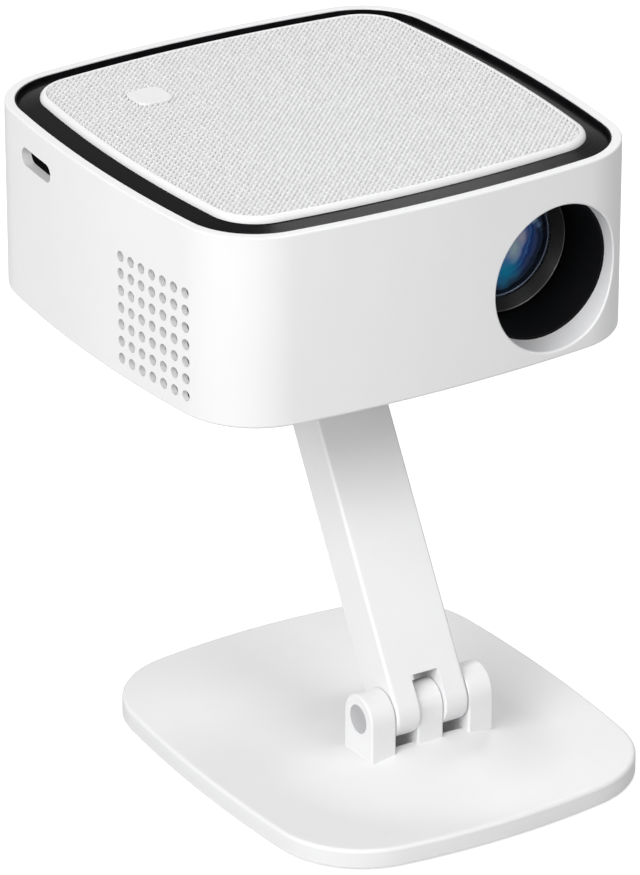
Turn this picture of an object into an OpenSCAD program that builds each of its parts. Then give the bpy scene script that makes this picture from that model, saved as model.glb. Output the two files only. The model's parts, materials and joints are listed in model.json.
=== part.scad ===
// Compact table projector on a folding stand.
// Millimetres, +Z up. The origin is the centre of the stand's rubber pad, on the table.
// The lens looks along -Y, and +X is to the right of someone who looks along +Y.

/* [Head] */
// Width of the head
head_w = 142; // [136:1:156]
// Depth of the head
head_d = 141; // [136:1:156]
// Height of the head, to the top of its rim
head_h = 55.4; // [54:0.2:64]
// How far each side of the head bows out
head_bow = 6.1; // [3:0.1:8]
// Radius of the head's upright corners
head_corner = 24; // [18:1:28]
// Thickness of the head's wall, seen as the rim
wall = 2.9; // [2:0.1:3.4]
// Thickness of the head's bottom cover
floor_t = 2.4; // [2:0.1:3]
// Width of the black band, rim to panel
band_w = 6.95; // [4:0.05:10]
// How far the band falls from the panel to the rim
band_fall = 1.6; // [0.5:0.1:2.4]
// Height of the rim above the band's outer lip
band_step = 0.3; // [0.2:0.1:0.5]
// How far the top panel stands above the rim
panel_rise = 1.5; // [0.8:0.1:2.5]
// Width of the smooth lip round the mesh
lip_w = 1.9; // [1:0.1:3]
// Thickness of the mesh skin
mesh_t = 0.8; // [0.4:0.1:1]

/* [Openings of the head] */
// Radius of a vent hole
vent_r = 1.55; // [1:0.05:2]
// Pitch of the vent holes
vent_pitch = 5; // [4.4:0.1:5.2]
// Vent holes along each side of the square
vent_count = 7; // [4:1:7]
// Middle of the side vents, behind the head's front
vent_from_front = 38.5; // [36.5:0.5:42.5]
// Middle of the rear vents, in from the head's right side
rear_vent_from_right = 39; // [37:0.5:40]
// Height of the middle of the vents above the head's underside
vent_height = 20.8; // [20.4:0.1:24]
// Length of the strap slot
slot_len = 18.2; // [12:0.1:22]
// Height of the strap slot
slot_h = 5.3; // [4.6:0.1:7]
// Middle of the strap slot, behind the head's middle
slot_back = 30.3; // [26:0.1:34]
// Middle of the strap slot, below the top of the rim
slot_drop = 10; // [9:0.1:12]
// Depth of the strap pocket behind the wall
pocket_depth = 9; // [5:0.5:11]

/* [Lens] */
// Middle of the lens, in from the head's right side
lens_from_right = 34.5; // [33:0.5:36]
// Height of the lens above the head's underside
lens_z = 23.8; // [23.6:0.1:25]
// Radius of the lens opening
opening_r = 21.2; // [20.8:0.1:21.4]
// Depth of the white collar behind the front
collar_depth = 11; // [6:0.5:14]
// Radius of the barrel's front rim
barrel_r = 19.2; // [17:0.1:19.6]
// Depth of the barrel's front rim behind the front
barrel_depth = 27; // [24:0.5:30]
// Length of the barrel
barrel_len = 33; // [28:1:34]
// Depth of the conical bezel in front of the glass
bezel_depth = 2.6; // [1.8:0.2:5]
// Width of the trim ring round the glass
inner_rim_w = 1.2; // [0.8:0.1:3]
// Focus travel each way from the middle
focus_travel = 2; // [1:0.1:2.4]

/* [Stand] */
// Width of the base plate
base_w = 117.2; // [108:0.2:130]
// Depth of the base plate
base_d = 136; // [128:0.5:150]
// Thickness of the base plate at its edge
base_t = 5.8; // [5.4:0.1:8]
// How far the base's front and back bow out
base_bow_front = 7.8; // [4:0.1:9]
// How far the base's left and right sides bow out
base_bow_side = 5.3; // [3:0.1:7]
// Radius of the base's upright corners
base_corner = 28; // [20:1:32]
// Thickness of the rubber pad
pad_t = 0.8; // [0.6:0.1:2]
// Height of the soft swell under the lower hinge
swell_h = 6.2; // [4:0.1:8]
// Radius of the soft swell
swell_r = 44; // [38:1:45]
// Lower hinge axis, forward of the base's middle
hinge_forward = 22; // [18:0.5:26]
// Height of the lower hinge axis above the swell
hinge_rise = 9.6; // [9:0.1:12]
// Distance between the two hinge axes
arm_len = 101; // [95:1:120]
// Thickness of the arm
arm_t = 15; // [13:0.5:15.4]
// How far the arm leans back at rest, in degrees
arm_lean = 30; // [20:1:35]
// Height of the head's underside above the upper hinge axis
head_rise = 13.3; // [13:0.1:18]
// Upper hinge axis, forward of the head's middle
head_hinge_forward = 6.6; // [2:0.2:10]

/* [Hinges] */
// Radius of the hinge knuckles
knuckle_r = 7.2; // [6.8:0.1:7.4]
// Width of an outer ear
ear_w = 8; // [6:0.5:10]
// Width of a prong of the arm
prong_w = 7.5; // [6:0.5:9]
// Width of the middle knuckle
middle_w = 8.4; // [7:0.2:9]
// Side gap between knuckles
side_gap = 0.15; // [0.1:0.05:0.3]
// Radius of the hinge pins
pin_r = 2.5; // [2:0.1:3]
// Radius of the pins' end discs
pin_head_r = 4.2; // [4:0.1:5]
// Running clearance round pins and rods
run_gap = 0.05; // [0.03:0.01:0.08]

/* [Controls and cooling] */
// Side of the square power button
button_w = 11; // [9:0.5:13]
// Power button, left of the head's middle
button_left = 32; // [30:0.5:34]
// Power button, behind the head's middle
button_back = 33; // [30:0.5:36]
// Travel of the power button
button_travel = 0.6; // [0.3:0.1:0.6]
// Side of the intake fan's frame
side_fan_w = 36; // [34:1:36]
// Side of the exhaust fan's frame
rear_fan_w = 36; // [34:1:36]
// Thickness of the fans
fan_t = 10; // [8:0.5:10]

/* [Hidden] */

$fn = 48;
eps = 0.01;
white = "whitesmoke";
black = "#1b1b1d";
steel = "silver";

// ---- outlines ----

// Radius of an arc that bows out by s over a half length h
function bow_radius(h, s) = (h * h + s * s) / (2 * s);

function arc_points(c, r, a0, a1, n) =
    [for (i = [0:n]) c + r * [cos(a0 + (a1 - a0) * i / n), sin(a0 + (a1 - a0) * i / n)]];

// Corner centre: distance p from [0, a] and q from [b, 0], in the first quadrant
function corner_centre(a, p, b, q) =
    let (e = [b, -a])
    let (l = norm(e))
    let (t = (p * p - q * q + l * l) / (2 * l))
    let (u = e / l)
    let (m = [0, a] + t * u)
    m + sqrt(p * p - t * t) * [u.y, -u.x];

// One quadrant of a rectangle with bowed sides, from +X round to +Y
function quadrant(w, d, rf, rs, r) =
    let (a = d / 2 - rf)
    let (b = w / 2 - rs)
    let (c = corner_centre(a, rf - r, b, rs - r))
    let (side_end = atan2(c.y, c.x - b))
    let (back_end = atan2(c.y - a, c.x))
    concat(arc_points([b, 0], rs, 0, side_end, 6),
        arc_points(c, r, side_end, back_end, 8),
        arc_points([0, a], rf, back_end, 90, 6));

function without_repeats(v) =
    [for (i = [0:len(v) - 1]) if (norm(v[i] - v[(i + 1) % len(v)]) > 0.001) v[i]];

function flip_x(v) = [for (i = [len(v) - 1:-1:0]) [-v[i].x, v[i].y]];

function flip_y(v) = [for (i = [len(v) - 1:-1:0]) [v[i].x, -v[i].y]];

function bowed(w, d, rf, rs, r) =
    let (q = quadrant(w, d, rf, rs, r))
    let (upper = concat(q, flip_x(q)))
    without_repeats(concat(upper, flip_y(upper)));

head_rf = bow_radius(head_w / 2, head_bow);
head_rs = bow_radius(head_d / 2, head_bow);
base_rf = bow_radius(base_w / 2, base_bow_front);
base_rs = bow_radius(base_d / 2, base_bow_side);

function head_outline(inset) =
    bowed(head_w - 2 * inset, head_d - 2 * inset, head_rf - inset, head_rs - inset,
        head_corner - inset);

function base_outline(inset) =
    bowed(base_w - 2 * inset, base_d - 2 * inset, base_rf - inset, base_rs - inset,
        base_corner - inset);

// Half width of the head at a place y, and half depth at a place x, on the bowed sides
function half_width(y) = head_w / 2 - head_rs + sqrt(head_rs * head_rs - y * y);

function half_depth(x) = head_d / 2 - head_rf + sqrt(head_rf * head_rf - x * x);

function round_rect(w, d, r) =
    concat(arc_points([w / 2 - r, d / 2 - r], r, 0, 90, 5),
        arc_points([r - w / 2, d / 2 - r], r, 90, 180, 5),
        arc_points([r - w / 2, r - d / 2], r, 180, 270, 5),
        arc_points([w / 2 - r, r - d / 2], r, 270, 360, 5));

// ---- small building blocks ----

module slab(points, z0, z1) {
    translate([0, 0, z0])
        linear_extrude(z1 - z0)
            polygon(points);
}

module block(lo, hi) {
    translate(lo)
        cube(hi - lo);
}

module rod_x(r, x0, x1) {
    translate([x0, 0, 0])
        rotate([0, 90, 0])
            cylinder(r = r, h = x1 - x0);
}

module rod_y(r, y0, y1) {
    translate([0, y1, 0])
        rotate([90, 0, 0])
            cylinder(r = r, h = y1 - y0);
}

// Turns children drawn along +Z so that they look along -Y
module forward() {
    rotate([90, 0, 0])
        children();
}

module at(places) {
    for (p = places)
        translate(p)
            children();
}

// Pan head screw along +Z: the head sits below z = 0 and the shank rises
module screw(head_r, head_t, r, length) {
    difference() {
        union() {
            translate([0, 0, -head_t])
                cylinder(r = head_r, h = head_t);
            cylinder(r = r, h = length);
        }
        for (a = [0, 90])
            rotate([0, 0, a])
                translate([-head_r * 0.6, -0.3, -head_t - eps])
                    cube([head_r * 1.2, 0.6, head_t * 0.5]);
    }
}

// A stadium lying along Y in the YZ plane, from x0 to x1
module stadium_x(length, height, x0, x1) {
    for (s = [-1, 1])
        translate([0, s * (length - height) / 2, 0])
            rod_x(height / 2, x0, x1);
    block([x0, (height - length) / 2, -height / 2], [x1, (length - height) / 2, height / 2]);
}

// ---- frames of the three main bodies ----

base_top = pad_t + base_t;
lower_y = -hinge_forward;
lower_z = base_top + swell_h + hinge_rise;
upper_y = lower_y + arm_len * sin(arm_lean);
upper_z = lower_z + arm_len * cos(arm_lean);
head_y = upper_y + head_hinge_forward;
head_z = upper_z + head_rise;

module on_lower_axis() {
    translate([0, lower_y, lower_z])
        children();
}

module on_upper_axis() {
    translate([0, upper_y, upper_z])
        children();
}

module on_arm() {
    on_lower_axis()
        rotate([-arm_lean, 0, 0])
            children();
}

module on_head() {
    translate([0, head_y, head_z])
        children();
}

// ---- hinges ----

prong_in = middle_w / 2 + side_gap;
prong_out = prong_in + prong_w;
ear_in = prong_out + side_gap;
ear_out = ear_in + ear_w;
pin_head_t = 1.8;
pin_head_inset = 0.1;
pin_cap_bite = 0.8;
sleeve_r = pin_r + 1.5;

// Three knuckles with a flat foot, from the axis down to z = foot
module knuckles(foot) {
    difference() {
        for (k = [[knuckle_r, -ear_out, -ear_in], [middle_r, -middle_w / 2, middle_w / 2],
                [knuckle_r, ear_in, ear_out]]) {
            rod_x(k[0], k[1], k[2]);
            block([k[1], -k[0], foot], [k[2], k[0], 0]);
        }
        pin_room();
    }
}

module pin_room() {
    rod_x(pin_r, -ear_out - 1, ear_out + 1);
    rod_x(pin_head_r, -ear_out - 1, -ear_out + pin_head_t + pin_head_inset);
    rod_x(pin_head_r, ear_out - pin_head_t - pin_head_inset, ear_out + 1);
}

module hinge_pin() {
    color(steel) {
        rod_x(pin_head_r, -ear_out + pin_head_inset, -ear_out + pin_head_inset + pin_head_t);
        rod_x(pin_r, -ear_out + pin_head_inset + pin_head_t - pin_cap_bite,
            ear_out - pin_head_t - pin_head_inset + pin_cap_bite);
    }
}

module pin_cap() {
    color(steel)
        difference() {
            rod_x(pin_head_r, ear_out - pin_head_t - pin_head_inset, ear_out - pin_head_inset);
            rod_x(pin_r, ear_out - pin_head_t - 2 * pin_head_inset,
                ear_out - pin_head_t - pin_head_inset + pin_cap_bite);
        }
}

// Two friction sleeves that fill the arm's prongs
module sleeves() {
    color("dimgray")
        for (x = [-prong_out, prong_in])
            difference() {
                rod_x(sleeve_r, x, x + prong_w);
                rod_x(pin_r + run_gap, x - 1, x + prong_w + 1);
            }
}

module lower_hinge_pin() {
    on_lower_axis()
        hinge_pin();
}

module lower_pin_cap() {
    on_lower_axis()
        pin_cap();
}

// ---- base ----

skirt = 2.2;
base_skin = 1.8;
base_bottom_t = 1.3;
pad_inset = 3;
weight_inset = skirt + 0.3;
plate_screw_r = 1.25;
plate_screw_head_r = 2.4;
plate_screw_head_t = 0.9;
plate_screw_len = base_t - plate_screw_head_t - 0.7;
plate_screw_at = [for (x = [-1, 1]) for (y = [-1, 1]) [x * (base_w / 2 - 17), y * (base_d / 2 - 18), 0]];
swell_screw_at = [for (x = [-1, 1]) [x * (ear_in + ear_w / 2), lower_y, 0]];
swell_screw_len = swell_h + base_t - plate_screw_head_t - 0.4;
swell_flat = 8;
swell_steps = 10;

// Height of the swell at a share t of its slope, from 1 at the flat to 0 at the rim
function swell_at(t) = swell_h * (1 + cos(180 * t)) / 2;

module swell() {
    slope = swell_r - swell_flat;
    translate([0, lower_y, base_top - base_skin])
        rotate_extrude($fn = 96)
            polygon(concat([[0, 0], [swell_r, 0]],
                [for (i = [swell_steps:-1:0])
                    [swell_flat + slope * i / swell_steps, base_skin + swell_at(i / swell_steps)]],
                [[0, base_skin + swell_h]]));
}

module base_cover() {
    color(white)
        difference() {
            union() {
                difference() {
                    slab(base_outline(0), pad_t, base_top);
                    slab(base_outline(skirt), pad_t - 1, base_top - base_skin);
                }
                swell();
                on_lower_axis()
                    knuckles(base_top - lower_z);
                translate([0, 0, base_top - base_skin - 1.2])
                    at(plate_screw_at)
                        cylinder(r = 3, h = 1.3);
            }
            on_lower_axis()
                pin_room();
            translate([0, 0, pad_t]) {
                at(plate_screw_at)
                    cylinder(r = plate_screw_r, h = plate_screw_head_t + plate_screw_len);
                at(swell_screw_at)
                    cylinder(r = plate_screw_r, h = plate_screw_head_t + swell_screw_len);
            }
        }
}

module base_weight() {
    color("slategray")
        difference() {
            slab(base_outline(weight_inset), pad_t + base_bottom_t, base_top - base_skin);
            at(plate_screw_at)
                translate([0, 0, pad_t])
                    cylinder(r = 3.4, h = base_t);
            at(swell_screw_at)
                translate([0, 0, pad_t])
                    cylinder(r = plate_screw_r + 0.3, h = base_t);
        }
}

module base_bottom() {
    color("lightgray")
        difference() {
            slab(base_outline(skirt + 0.1), pad_t, pad_t + base_bottom_t);
            at(concat(plate_screw_at, swell_screw_at)) {
                cylinder(r = plate_screw_head_r, h = pad_t + plate_screw_head_t);
                cylinder(r = plate_screw_r, h = pad_t + base_t);
            }
        }
}

module base_pad() {
    color(black)
        slab(base_outline(pad_inset), 0, pad_t);
}

module base_screws() {
    color(steel)
        translate([0, 0, pad_t + plate_screw_head_t]) {
            at(plate_screw_at)
                screw(plate_screw_head_r, plate_screw_head_t, plate_screw_r, plate_screw_len);
            at(swell_screw_at)
                screw(plate_screw_head_r, plate_screw_head_t, plate_screw_r, swell_screw_len);
        }
}

// ---- arm, drawn upright with the lower axis at its origin ----

notch = knuckle_r + 0.6;
middle_r = knuckle_r - 1;
arm_r = arm_t / 2;
arm_wall = 2.4;
cover_t = 2;
cover_inset = 2.2;
core_t = 4;
core_w = 12;
cavity_end = notch + 5.4;
cover_end = cavity_end - 2.5;
arm_screw_r = 1.2;
arm_screw_head_r = 2.2;
arm_screw_at = [for (z = [cavity_end + 6, arm_len - cavity_end - 6]) [0, 0, z]];

module arm_bar() {
    block([-prong_out, -arm_r, 0], [prong_out, arm_r, arm_len]);
    for (z = [0, arm_len])
        translate([0, 0, z])
            rod_x(arm_r, -prong_out, prong_out);
}

module arm_shell() {
    on_arm()
        color(white)
            difference() {
                arm_bar();
                for (z = [0, arm_len])
                    translate([0, 0, z]) {
                        block([-prong_in, -arm_t, -notch], [prong_in, arm_t, notch]);
                        rod_x(sleeve_r, -prong_out - 1, prong_out + 1);
                    }
                block([arm_wall - prong_out, arm_wall - arm_r, cavity_end],
                    [prong_out - arm_wall, arm_r + 1, arm_len - cavity_end]);
                block([cover_inset - prong_out, arm_r - cover_t, cover_end],
                    [prong_out - cover_inset, arm_r + 1, arm_len - cover_end]);
            }
}

module arm_back_cover() {
    on_arm()
        color(white)
            difference() {
                block([cover_inset + 0.1 - prong_out, arm_r - cover_t, cover_end + 0.1],
                    [prong_out - cover_inset - 0.1, arm_r, arm_len - cover_end - 0.1]);
                at(arm_screw_at) {
                    rod_y(arm_screw_r, 0, arm_t);
                    rod_y(arm_screw_head_r, arm_r - 1, arm_t);
                }
            }
}

module arm_core() {
    on_arm()
        color("slategray")
            difference() {
                block([-core_w / 2, arm_wall - arm_r, cavity_end],
                    [core_w / 2, arm_r - cover_t, arm_len - cavity_end]);
                block([-core_w / 2 - 1, arm_wall - arm_r + core_t, cavity_end + 12],
                    [core_w / 2 + 1, arm_r, arm_len - cavity_end - 12]);
                at(arm_screw_at)
                    rod_y(arm_screw_r, -1, arm_t);
            }
}

module arm_screws() {
    on_arm()
        color(steel)
            at(arm_screw_at)
                translate([0, arm_r - 1, 0])
                    forward()
                        screw(arm_screw_head_r, 0.8, arm_screw_r, arm_r - 1);
}

module lower_friction_sleeves() {
    on_arm()
        sleeves();
}

module upper_friction_sleeves() {
    on_arm()
        translate([0, 0, arm_len])
            sleeves();
}

// ---- upper hinge ----

flange_w = 56;
flange_d = 30;
flange_t = 2.4;
flange_r = 4;
flange_screw_r = 1.5;
flange_screw_len = flange_t + floor_t + 1.6;
flange_y = -head_hinge_forward;
flange_screw_at = [for (x = [-1, 1]) for (y = [-1, 1])
    [x * (flange_w / 2 - 4), flange_y + y * (flange_d / 2 - 4), 0]];
brace_t = 1.6;

module head_bracket() {
    color(white)
        difference() {
            union() {
                on_upper_axis()
                    rotate([0, 180, 0])
                        knuckles(flange_t / 2 - head_rise);
                on_head()
                    translate([0, flange_y, 0])
                        slab(round_rect(flange_w, flange_d, flange_r), -flange_t, 0);
            }
            on_head()
                translate([0, 0, -flange_t - 1])
                    at(flange_screw_at)
                        cylinder(r = flange_screw_r, h = flange_t + 2);
        }
}

module bracket_plate() {
    on_head()
        color("slategray")
            difference() {
                translate([0, flange_y, 0])
                    slab(round_rect(flange_w + 4, flange_d + 4, flange_r), floor_t, floor_t + brace_t);
                at(flange_screw_at)
                    cylinder(r = flange_screw_r, h = head_h);
            }
}

module bracket_screws() {
    on_head()
        color(steel)
            translate([0, 0, -flange_t])
                at(flange_screw_at)
                    screw(2.8, 1.6, flange_screw_r, flange_screw_len);
}

module upper_hinge_pin() {
    on_upper_axis()
        hinge_pin();
}

module upper_pin_cap() {
    on_upper_axis()
        pin_cap();
}

// ---- head case ----

deck_z = head_h - 4.8;
deck_t = 2.4;
post_r = 3.2;
post_in = 14.5;
post_x = head_w / 2 - post_in;
post_y = head_d / 2 - post_in;
case_screw_r = 1.5;
lens_x = head_w / 2 - lens_from_right;
collar_t = 1.4;
shroud_r = opening_r - 0.7;
shroud_t = 1.5;
collar_y = -head_d / 2 + collar_depth;
rim_y = -head_d / 2 + barrel_depth;
panel_inset = wall + band_w;
band_lip_t = 0.4;
panel_top = head_h + panel_rise;
vent_span = (vent_count - 1) * vent_pitch;
vent_y = vent_from_front - head_d / 2;
rear_vent_x = head_w / 2 - rear_vent_from_right;
fit_gap = 0.2;

// The window for the sockets runs from the left rear corner to the rear fan
ports_x0 = 20 - head_w / 2;
ports_x1 = rear_vent_x - rear_fan_w / 2 - 8;
ports_w = ports_x1 - ports_x0;
ports_z0 = 5.5;
ports_z1 = 22.5;

// The front right post stands beside the lens, clear of its shroud
post_at = [[-post_x, -post_y, 0], [-post_x, post_y, 0], [post_x, post_y, 0],
    [head_w / 2 - wall - post_r - 2, rim_y + 6, 0]];

module on_lens_axis(y) {
    translate([lens_x, y, lens_z])
        children();
}

module vent_grid() {
    for (a = [0:vent_count - 1])
        for (b = [0:vent_count - 1])
            translate([a * vent_pitch - vent_span / 2, b * vent_pitch - vent_span / 2, 0])
                children();
}

module head_shell() {
    color(white)
        difference() {
            on_head()
                shell_body();
            side_fan_screw_places()
                cylinder(r = fan_screw_r, h = fan_t + fan_screw_bite);
            rear_fan_screw_places()
                cylinder(r = fan_screw_r, h = fan_t + fan_screw_bite);
        }
}

module shell_body() {
    difference() {
        union() {
            difference() {
                slab(head_outline(0), 0, head_h);
                slab(head_outline(wall), -1, head_h + 1);
            }
            intersection() {
                slab(head_outline(wall / 2), 0, head_h);
                on_lens_axis(0)
                    rod_y(opening_r + collar_t, -head_d / 2, collar_y);
            }
        }
        on_lens_axis(0)
            rod_y(opening_r, -head_d, collar_y + 1);
        translate([-head_w / 2 - 1, vent_y, vent_height])
            rotate([0, 90, 0])
                vent_grid()
                    cylinder(r = vent_r, h = 12, $fn = 24);
        translate([rear_vent_x, head_d / 2 + 1, vent_height])
            rotate([90, 0, 0])
                vent_grid()
                    cylinder(r = vent_r, h = 12, $fn = 24);
        translate([0, slot_back, head_h - slot_drop])
            stadium_x(slot_len, slot_h, -head_w, -head_w / 4);
        block([ports_x0, head_d / 4, ports_z0], [ports_x1, head_d, ports_z1]);
    }
}

// Room for the collar and the shroud in the covers below and above them
module lens_room() {
    on_lens_axis(0) {
        rod_y(opening_r + collar_t + fit_gap, -head_d, collar_y + fit_gap);
        rod_y(shroud_r + shroud_t + fit_gap, -head_d, shroud_back + fit_gap);
    }
}

module bottom_cover() {
    on_head()
        color(white)
            difference() {
                union() {
                    slab(head_outline(wall + 0.1), 0, floor_t);
                    at(concat(main_standoffs, driver_standoffs))
                        cylinder(r = 2.6, h = board_z);
                }
                lens_room();
                translate([0, 0, -1]) {
                    at(post_at) {
                        cylinder(r = case_screw_r, h = floor_t + 2);
                        cylinder(r = 2.8, h = 2.2);
                    }
                    at(flange_screw_at)
                        cylinder(r = flange_screw_r, h = floor_t + 2);
                    at(concat(main_standoffs, driver_standoffs))
                        translate([0, 0, floor_t + 2])
                            cylinder(r = 1, h = board_z);
                }
            }
}

module case_screws() {
    on_head()
        color(steel)
            translate([0, 0, 1.2])
                at(post_at)
                    screw(2.7, 1, case_screw_r, 12);
}

module top_deck() {
    on_head()
        color("gainsboro")
            difference() {
                union() {
                    slab(head_outline(wall + 0.1), deck_z, deck_z + deck_t);
                    at(post_at)
                        translate([0, 0, floor_t])
                            cylinder(r = post_r, h = deck_z + 1 - floor_t);
                }
                lens_room();
                at(post_at)
                    cylinder(r = case_screw_r, h = 14);
                translate([-button_left, button_back, deck_z - 1])
                    slab(round_rect(8, 8, 1), 0, deck_t + 2);
                translate([speaker_x, speaker_y, deck_z - 1])
                    cylinder(r = speaker_r - 3, h = deck_t + 2);
            }
}

module black_band() {
    on_head()
        color(black)
            difference() {
                union() {
                    hull() {
                        slab(head_outline(wall + 0.1), deck_z + deck_t, head_h - band_fall);
                        slab(head_outline(panel_inset), deck_z + deck_t, head_h - 0.2);
                    }
                    difference() {
                        slab(head_outline(wall + 0.1), deck_z + deck_t, head_h - band_step);
                        slab(head_outline(wall + 0.1 + band_lip_t), deck_z, head_h + 1);
                    }
                }
                slab(head_outline(panel_inset), deck_z, head_h + 1);
            }
}

module sound_holes() {
    for (a = [-2:2])
        for (b = [-2:2])
            if (norm([a, b]) < 2.6)
                translate([speaker_x + 5 * a, speaker_y + 5 * b, 0])
                    cylinder(r = 1.6, h = head_h + 20, $fn = 24);
}

module top_panel() {
    on_head()
        color(white)
            difference() {
                slab(head_outline(panel_inset + 0.1), deck_z + deck_t, panel_top);
                slab(head_outline(panel_inset + lip_w), panel_top - mesh_t, panel_top + 1);
                translate([-button_left, button_back, 0])
                    slab(round_rect(button_w + 0.6, button_w + 0.6, 3.3), deck_z + deck_t - 1, head_h + 9);
                sound_holes();
            }
}

module top_mesh() {
    on_head()
        color("lightgray")
            difference() {
                slab(head_outline(panel_inset + lip_w + 0.1), panel_top - mesh_t, panel_top);
                translate([-button_left, button_back, 0])
                    slab(round_rect(button_w + 0.6, button_w + 0.6, 3.3), head_h - 1, head_h + 9);
            }
}

// ---- power button ----

button_board_t = 1.2;
switch_top = deck_z + 2.8;

module power_button() {
    on_head()
        color(white)
            translate([-button_left, button_back, 0]) {
                slab(round_rect(button_w, button_w, 3), panel_top - 1.6, panel_top + 0.2);
                translate([0, 0, switch_top + button_travel + 0.1])
                    cylinder(r = 2, h = panel_top - 1.5 - switch_top - button_travel - 0.1);
            }
}

// The push switch on its own small board, held under the deck
module button_switch() {
    on_head()
        color("dimgray")
            translate([-button_left, button_back, deck_z]) {
                slab(round_rect(16, 14, 1), -button_board_t, 0);
                block([-3, -3, 0], [3, 3, 2]);
                cylinder(r = 1.6, h = switch_top - deck_z);
            }
}

// ---- strap pocket ----

pocket_wall = 1.2;
pocket_x = -half_width(slot_back + slot_len / 2 + pocket_wall) + wall + 0.1;

module strap_pocket() {
    on_head()
        color(black)
            translate([0, slot_back, head_h - slot_drop])
                difference() {
                    block([pocket_x, -slot_len / 2 - pocket_wall, -slot_h / 2 - pocket_wall],
                        [pocket_x + pocket_depth, slot_len / 2 + pocket_wall, slot_h / 2 + pocket_wall]);
                    stadium_x(slot_len, slot_h, pocket_x - 1, pocket_x + pocket_depth - pocket_wall);
                }
}

// ---- lens, focus drive ----

shroud_back = rim_y + focus_travel + 2;
corner_off = 16.5;
rod_r = 1.5;
rod_at = [[-corner_off, 0, corner_off], [corner_off, 0, -corner_off]];
screw_off = [corner_off, 0, corner_off];
shroud_flange_t = 3;
engine_front = rim_y + barrel_len + focus_travel + 2;
carriage_t = 6;
carriage_y = rim_y + 14;
carriage_half = corner_off + 3.6;
screw_r = 1.5;
glass_edge = 2.4;
glass_bulge = 2;
barrel_body_r = barrel_r - 0.8;
barrel_wall = 2.2;
seat_r = barrel_body_r - barrel_wall;
trim_t = 0.4;
glass_r = seat_r - inner_rim_w + trim_t;
inner_rim_t = glass_bulge - 0.2;
glass_back = bezel_depth + glass_bulge + glass_edge;

function lens_profile(r, edge, bulge, n) =
    let (big = bow_radius(r, bulge))
    let (span = asin(r / big))
    concat([[0, 0], [r, 0]],
        [for (i = [n:-1:0])
            [big * sin(span * i / n), edge + bulge - big + big * cos(span * i / n)]]);

module glass(r, edge, bulge) {
    rotate_extrude($fn = 72)
        polygon(without_repeats(lens_profile(r, edge, bulge, 8)));
}

module lens_shroud() {
    on_head()
        color(black)
            on_lens_axis(0)
                difference() {
                    union() {
                        rod_y(shroud_r + shroud_t, collar_y + 0.2, shroud_back);
                        block([-carriage_half, shroud_back, -carriage_half],
                            [carriage_half, shroud_back + shroud_flange_t, carriage_half]);
                    }
                    rod_y(shroud_r, -head_d, shroud_back + shroud_flange_t + 1);
                    at(rod_at)
                        rod_y(rod_r, shroud_back - 1, shroud_back + 9);
                    translate(screw_off)
                        rod_y(screw_r + run_gap, shroud_back - 1, shroud_back + 9);
                }
}

module guide_rods() {
    on_head()
        color(steel)
            on_lens_axis(0)
                at(rod_at)
                    rod_y(rod_r, shroud_back, engine_front + 2);
}

module lens_carriage() {
    on_head()
        color(black)
            on_lens_axis(carriage_y)
                difference() {
                    union() {
                        rod_y(barrel_r + 0.4, 0, carriage_t);
                        for (p = concat(rod_at, [screw_off]))
                            hull() {
                                translate(p)
                                    rod_y(3, 0, carriage_t);
                                translate(p * 0.6)
                                    rod_y(5, 0, carriage_t);
                            }
                    }
                    rod_y(barrel_body_r, -1, carriage_t + 1);
                    at(rod_at)
                        rod_y(rod_r + run_gap, -1, carriage_t + 1);
                    translate(screw_off)
                        rod_y(screw_r + run_gap, -1, carriage_t + 1);
                }
}

module lens_barrel() {
    on_head()
        color(black)
            on_lens_axis(0)
                difference() {
                    union() {
                        rod_y(barrel_body_r, rim_y + 1, rim_y + barrel_len);
                        rod_y(barrel_r - trim_t - 0.05, rim_y, rim_y + 3);
                    }
                    translate([0, rim_y + bezel_depth, 0])
                        forward()
                            cylinder(r1 = seat_r, r2 = barrel_r - 2 * trim_t, h = bezel_depth + eps);
                    rod_y(seat_r, rim_y + bezel_depth - eps, rim_y + bezel_depth + inner_rim_t);
                    rod_y(glass_r, rim_y, rim_y + glass_back);
                    rod_y(glass_r - 2, rim_y, rim_y + barrel_len + 1);
                    rod_y(glass_r - 1, rim_y + barrel_len - 4, rim_y + barrel_len + 1);
                }
}

module barrel_rim() {
    on_head()
        color("silver")
            on_lens_axis(rim_y)
                difference() {
                    rod_y(barrel_r, 0, 1.2);
                    rod_y(barrel_r - trim_t, -1, 2);
                }
}

module inner_rim() {
    on_head()
        color("silver")
            on_lens_axis(rim_y + bezel_depth)
                difference() {
                    rod_y(seat_r, 0, inner_rim_t);
                    rod_y(glass_r - trim_t, -1, inner_rim_t + 1);
                }
}

module front_glass() {
    on_head()
        color("slateblue", 0.6)
            on_lens_axis(rim_y + glass_back)
                forward()
                    glass(glass_r - 0.05, glass_edge, glass_bulge);
}

module rear_glass() {
    on_head()
        color("lightblue", 0.6)
            on_lens_axis(rim_y + barrel_len - 1)
                forward()
                    glass(glass_r - 1.05, glass_edge, 0.5);
}

module focus_screw() {
    on_head()
        color(steel)
            on_lens_axis(0)
                translate(screw_off)
                    rod_y(screw_r, shroud_back + 0.3, engine_front - 9.2);
}

module focus_motor() {
    on_head()
        color("dimgray")
            on_lens_axis(0)
                translate(screw_off)
                    difference() {
                        rod_y(4, engine_front - 9, engine_front);
                        rod_y(2, engine_front - 10, engine_front - 8.6);
                    }
}

// ---- light engine ----

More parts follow.
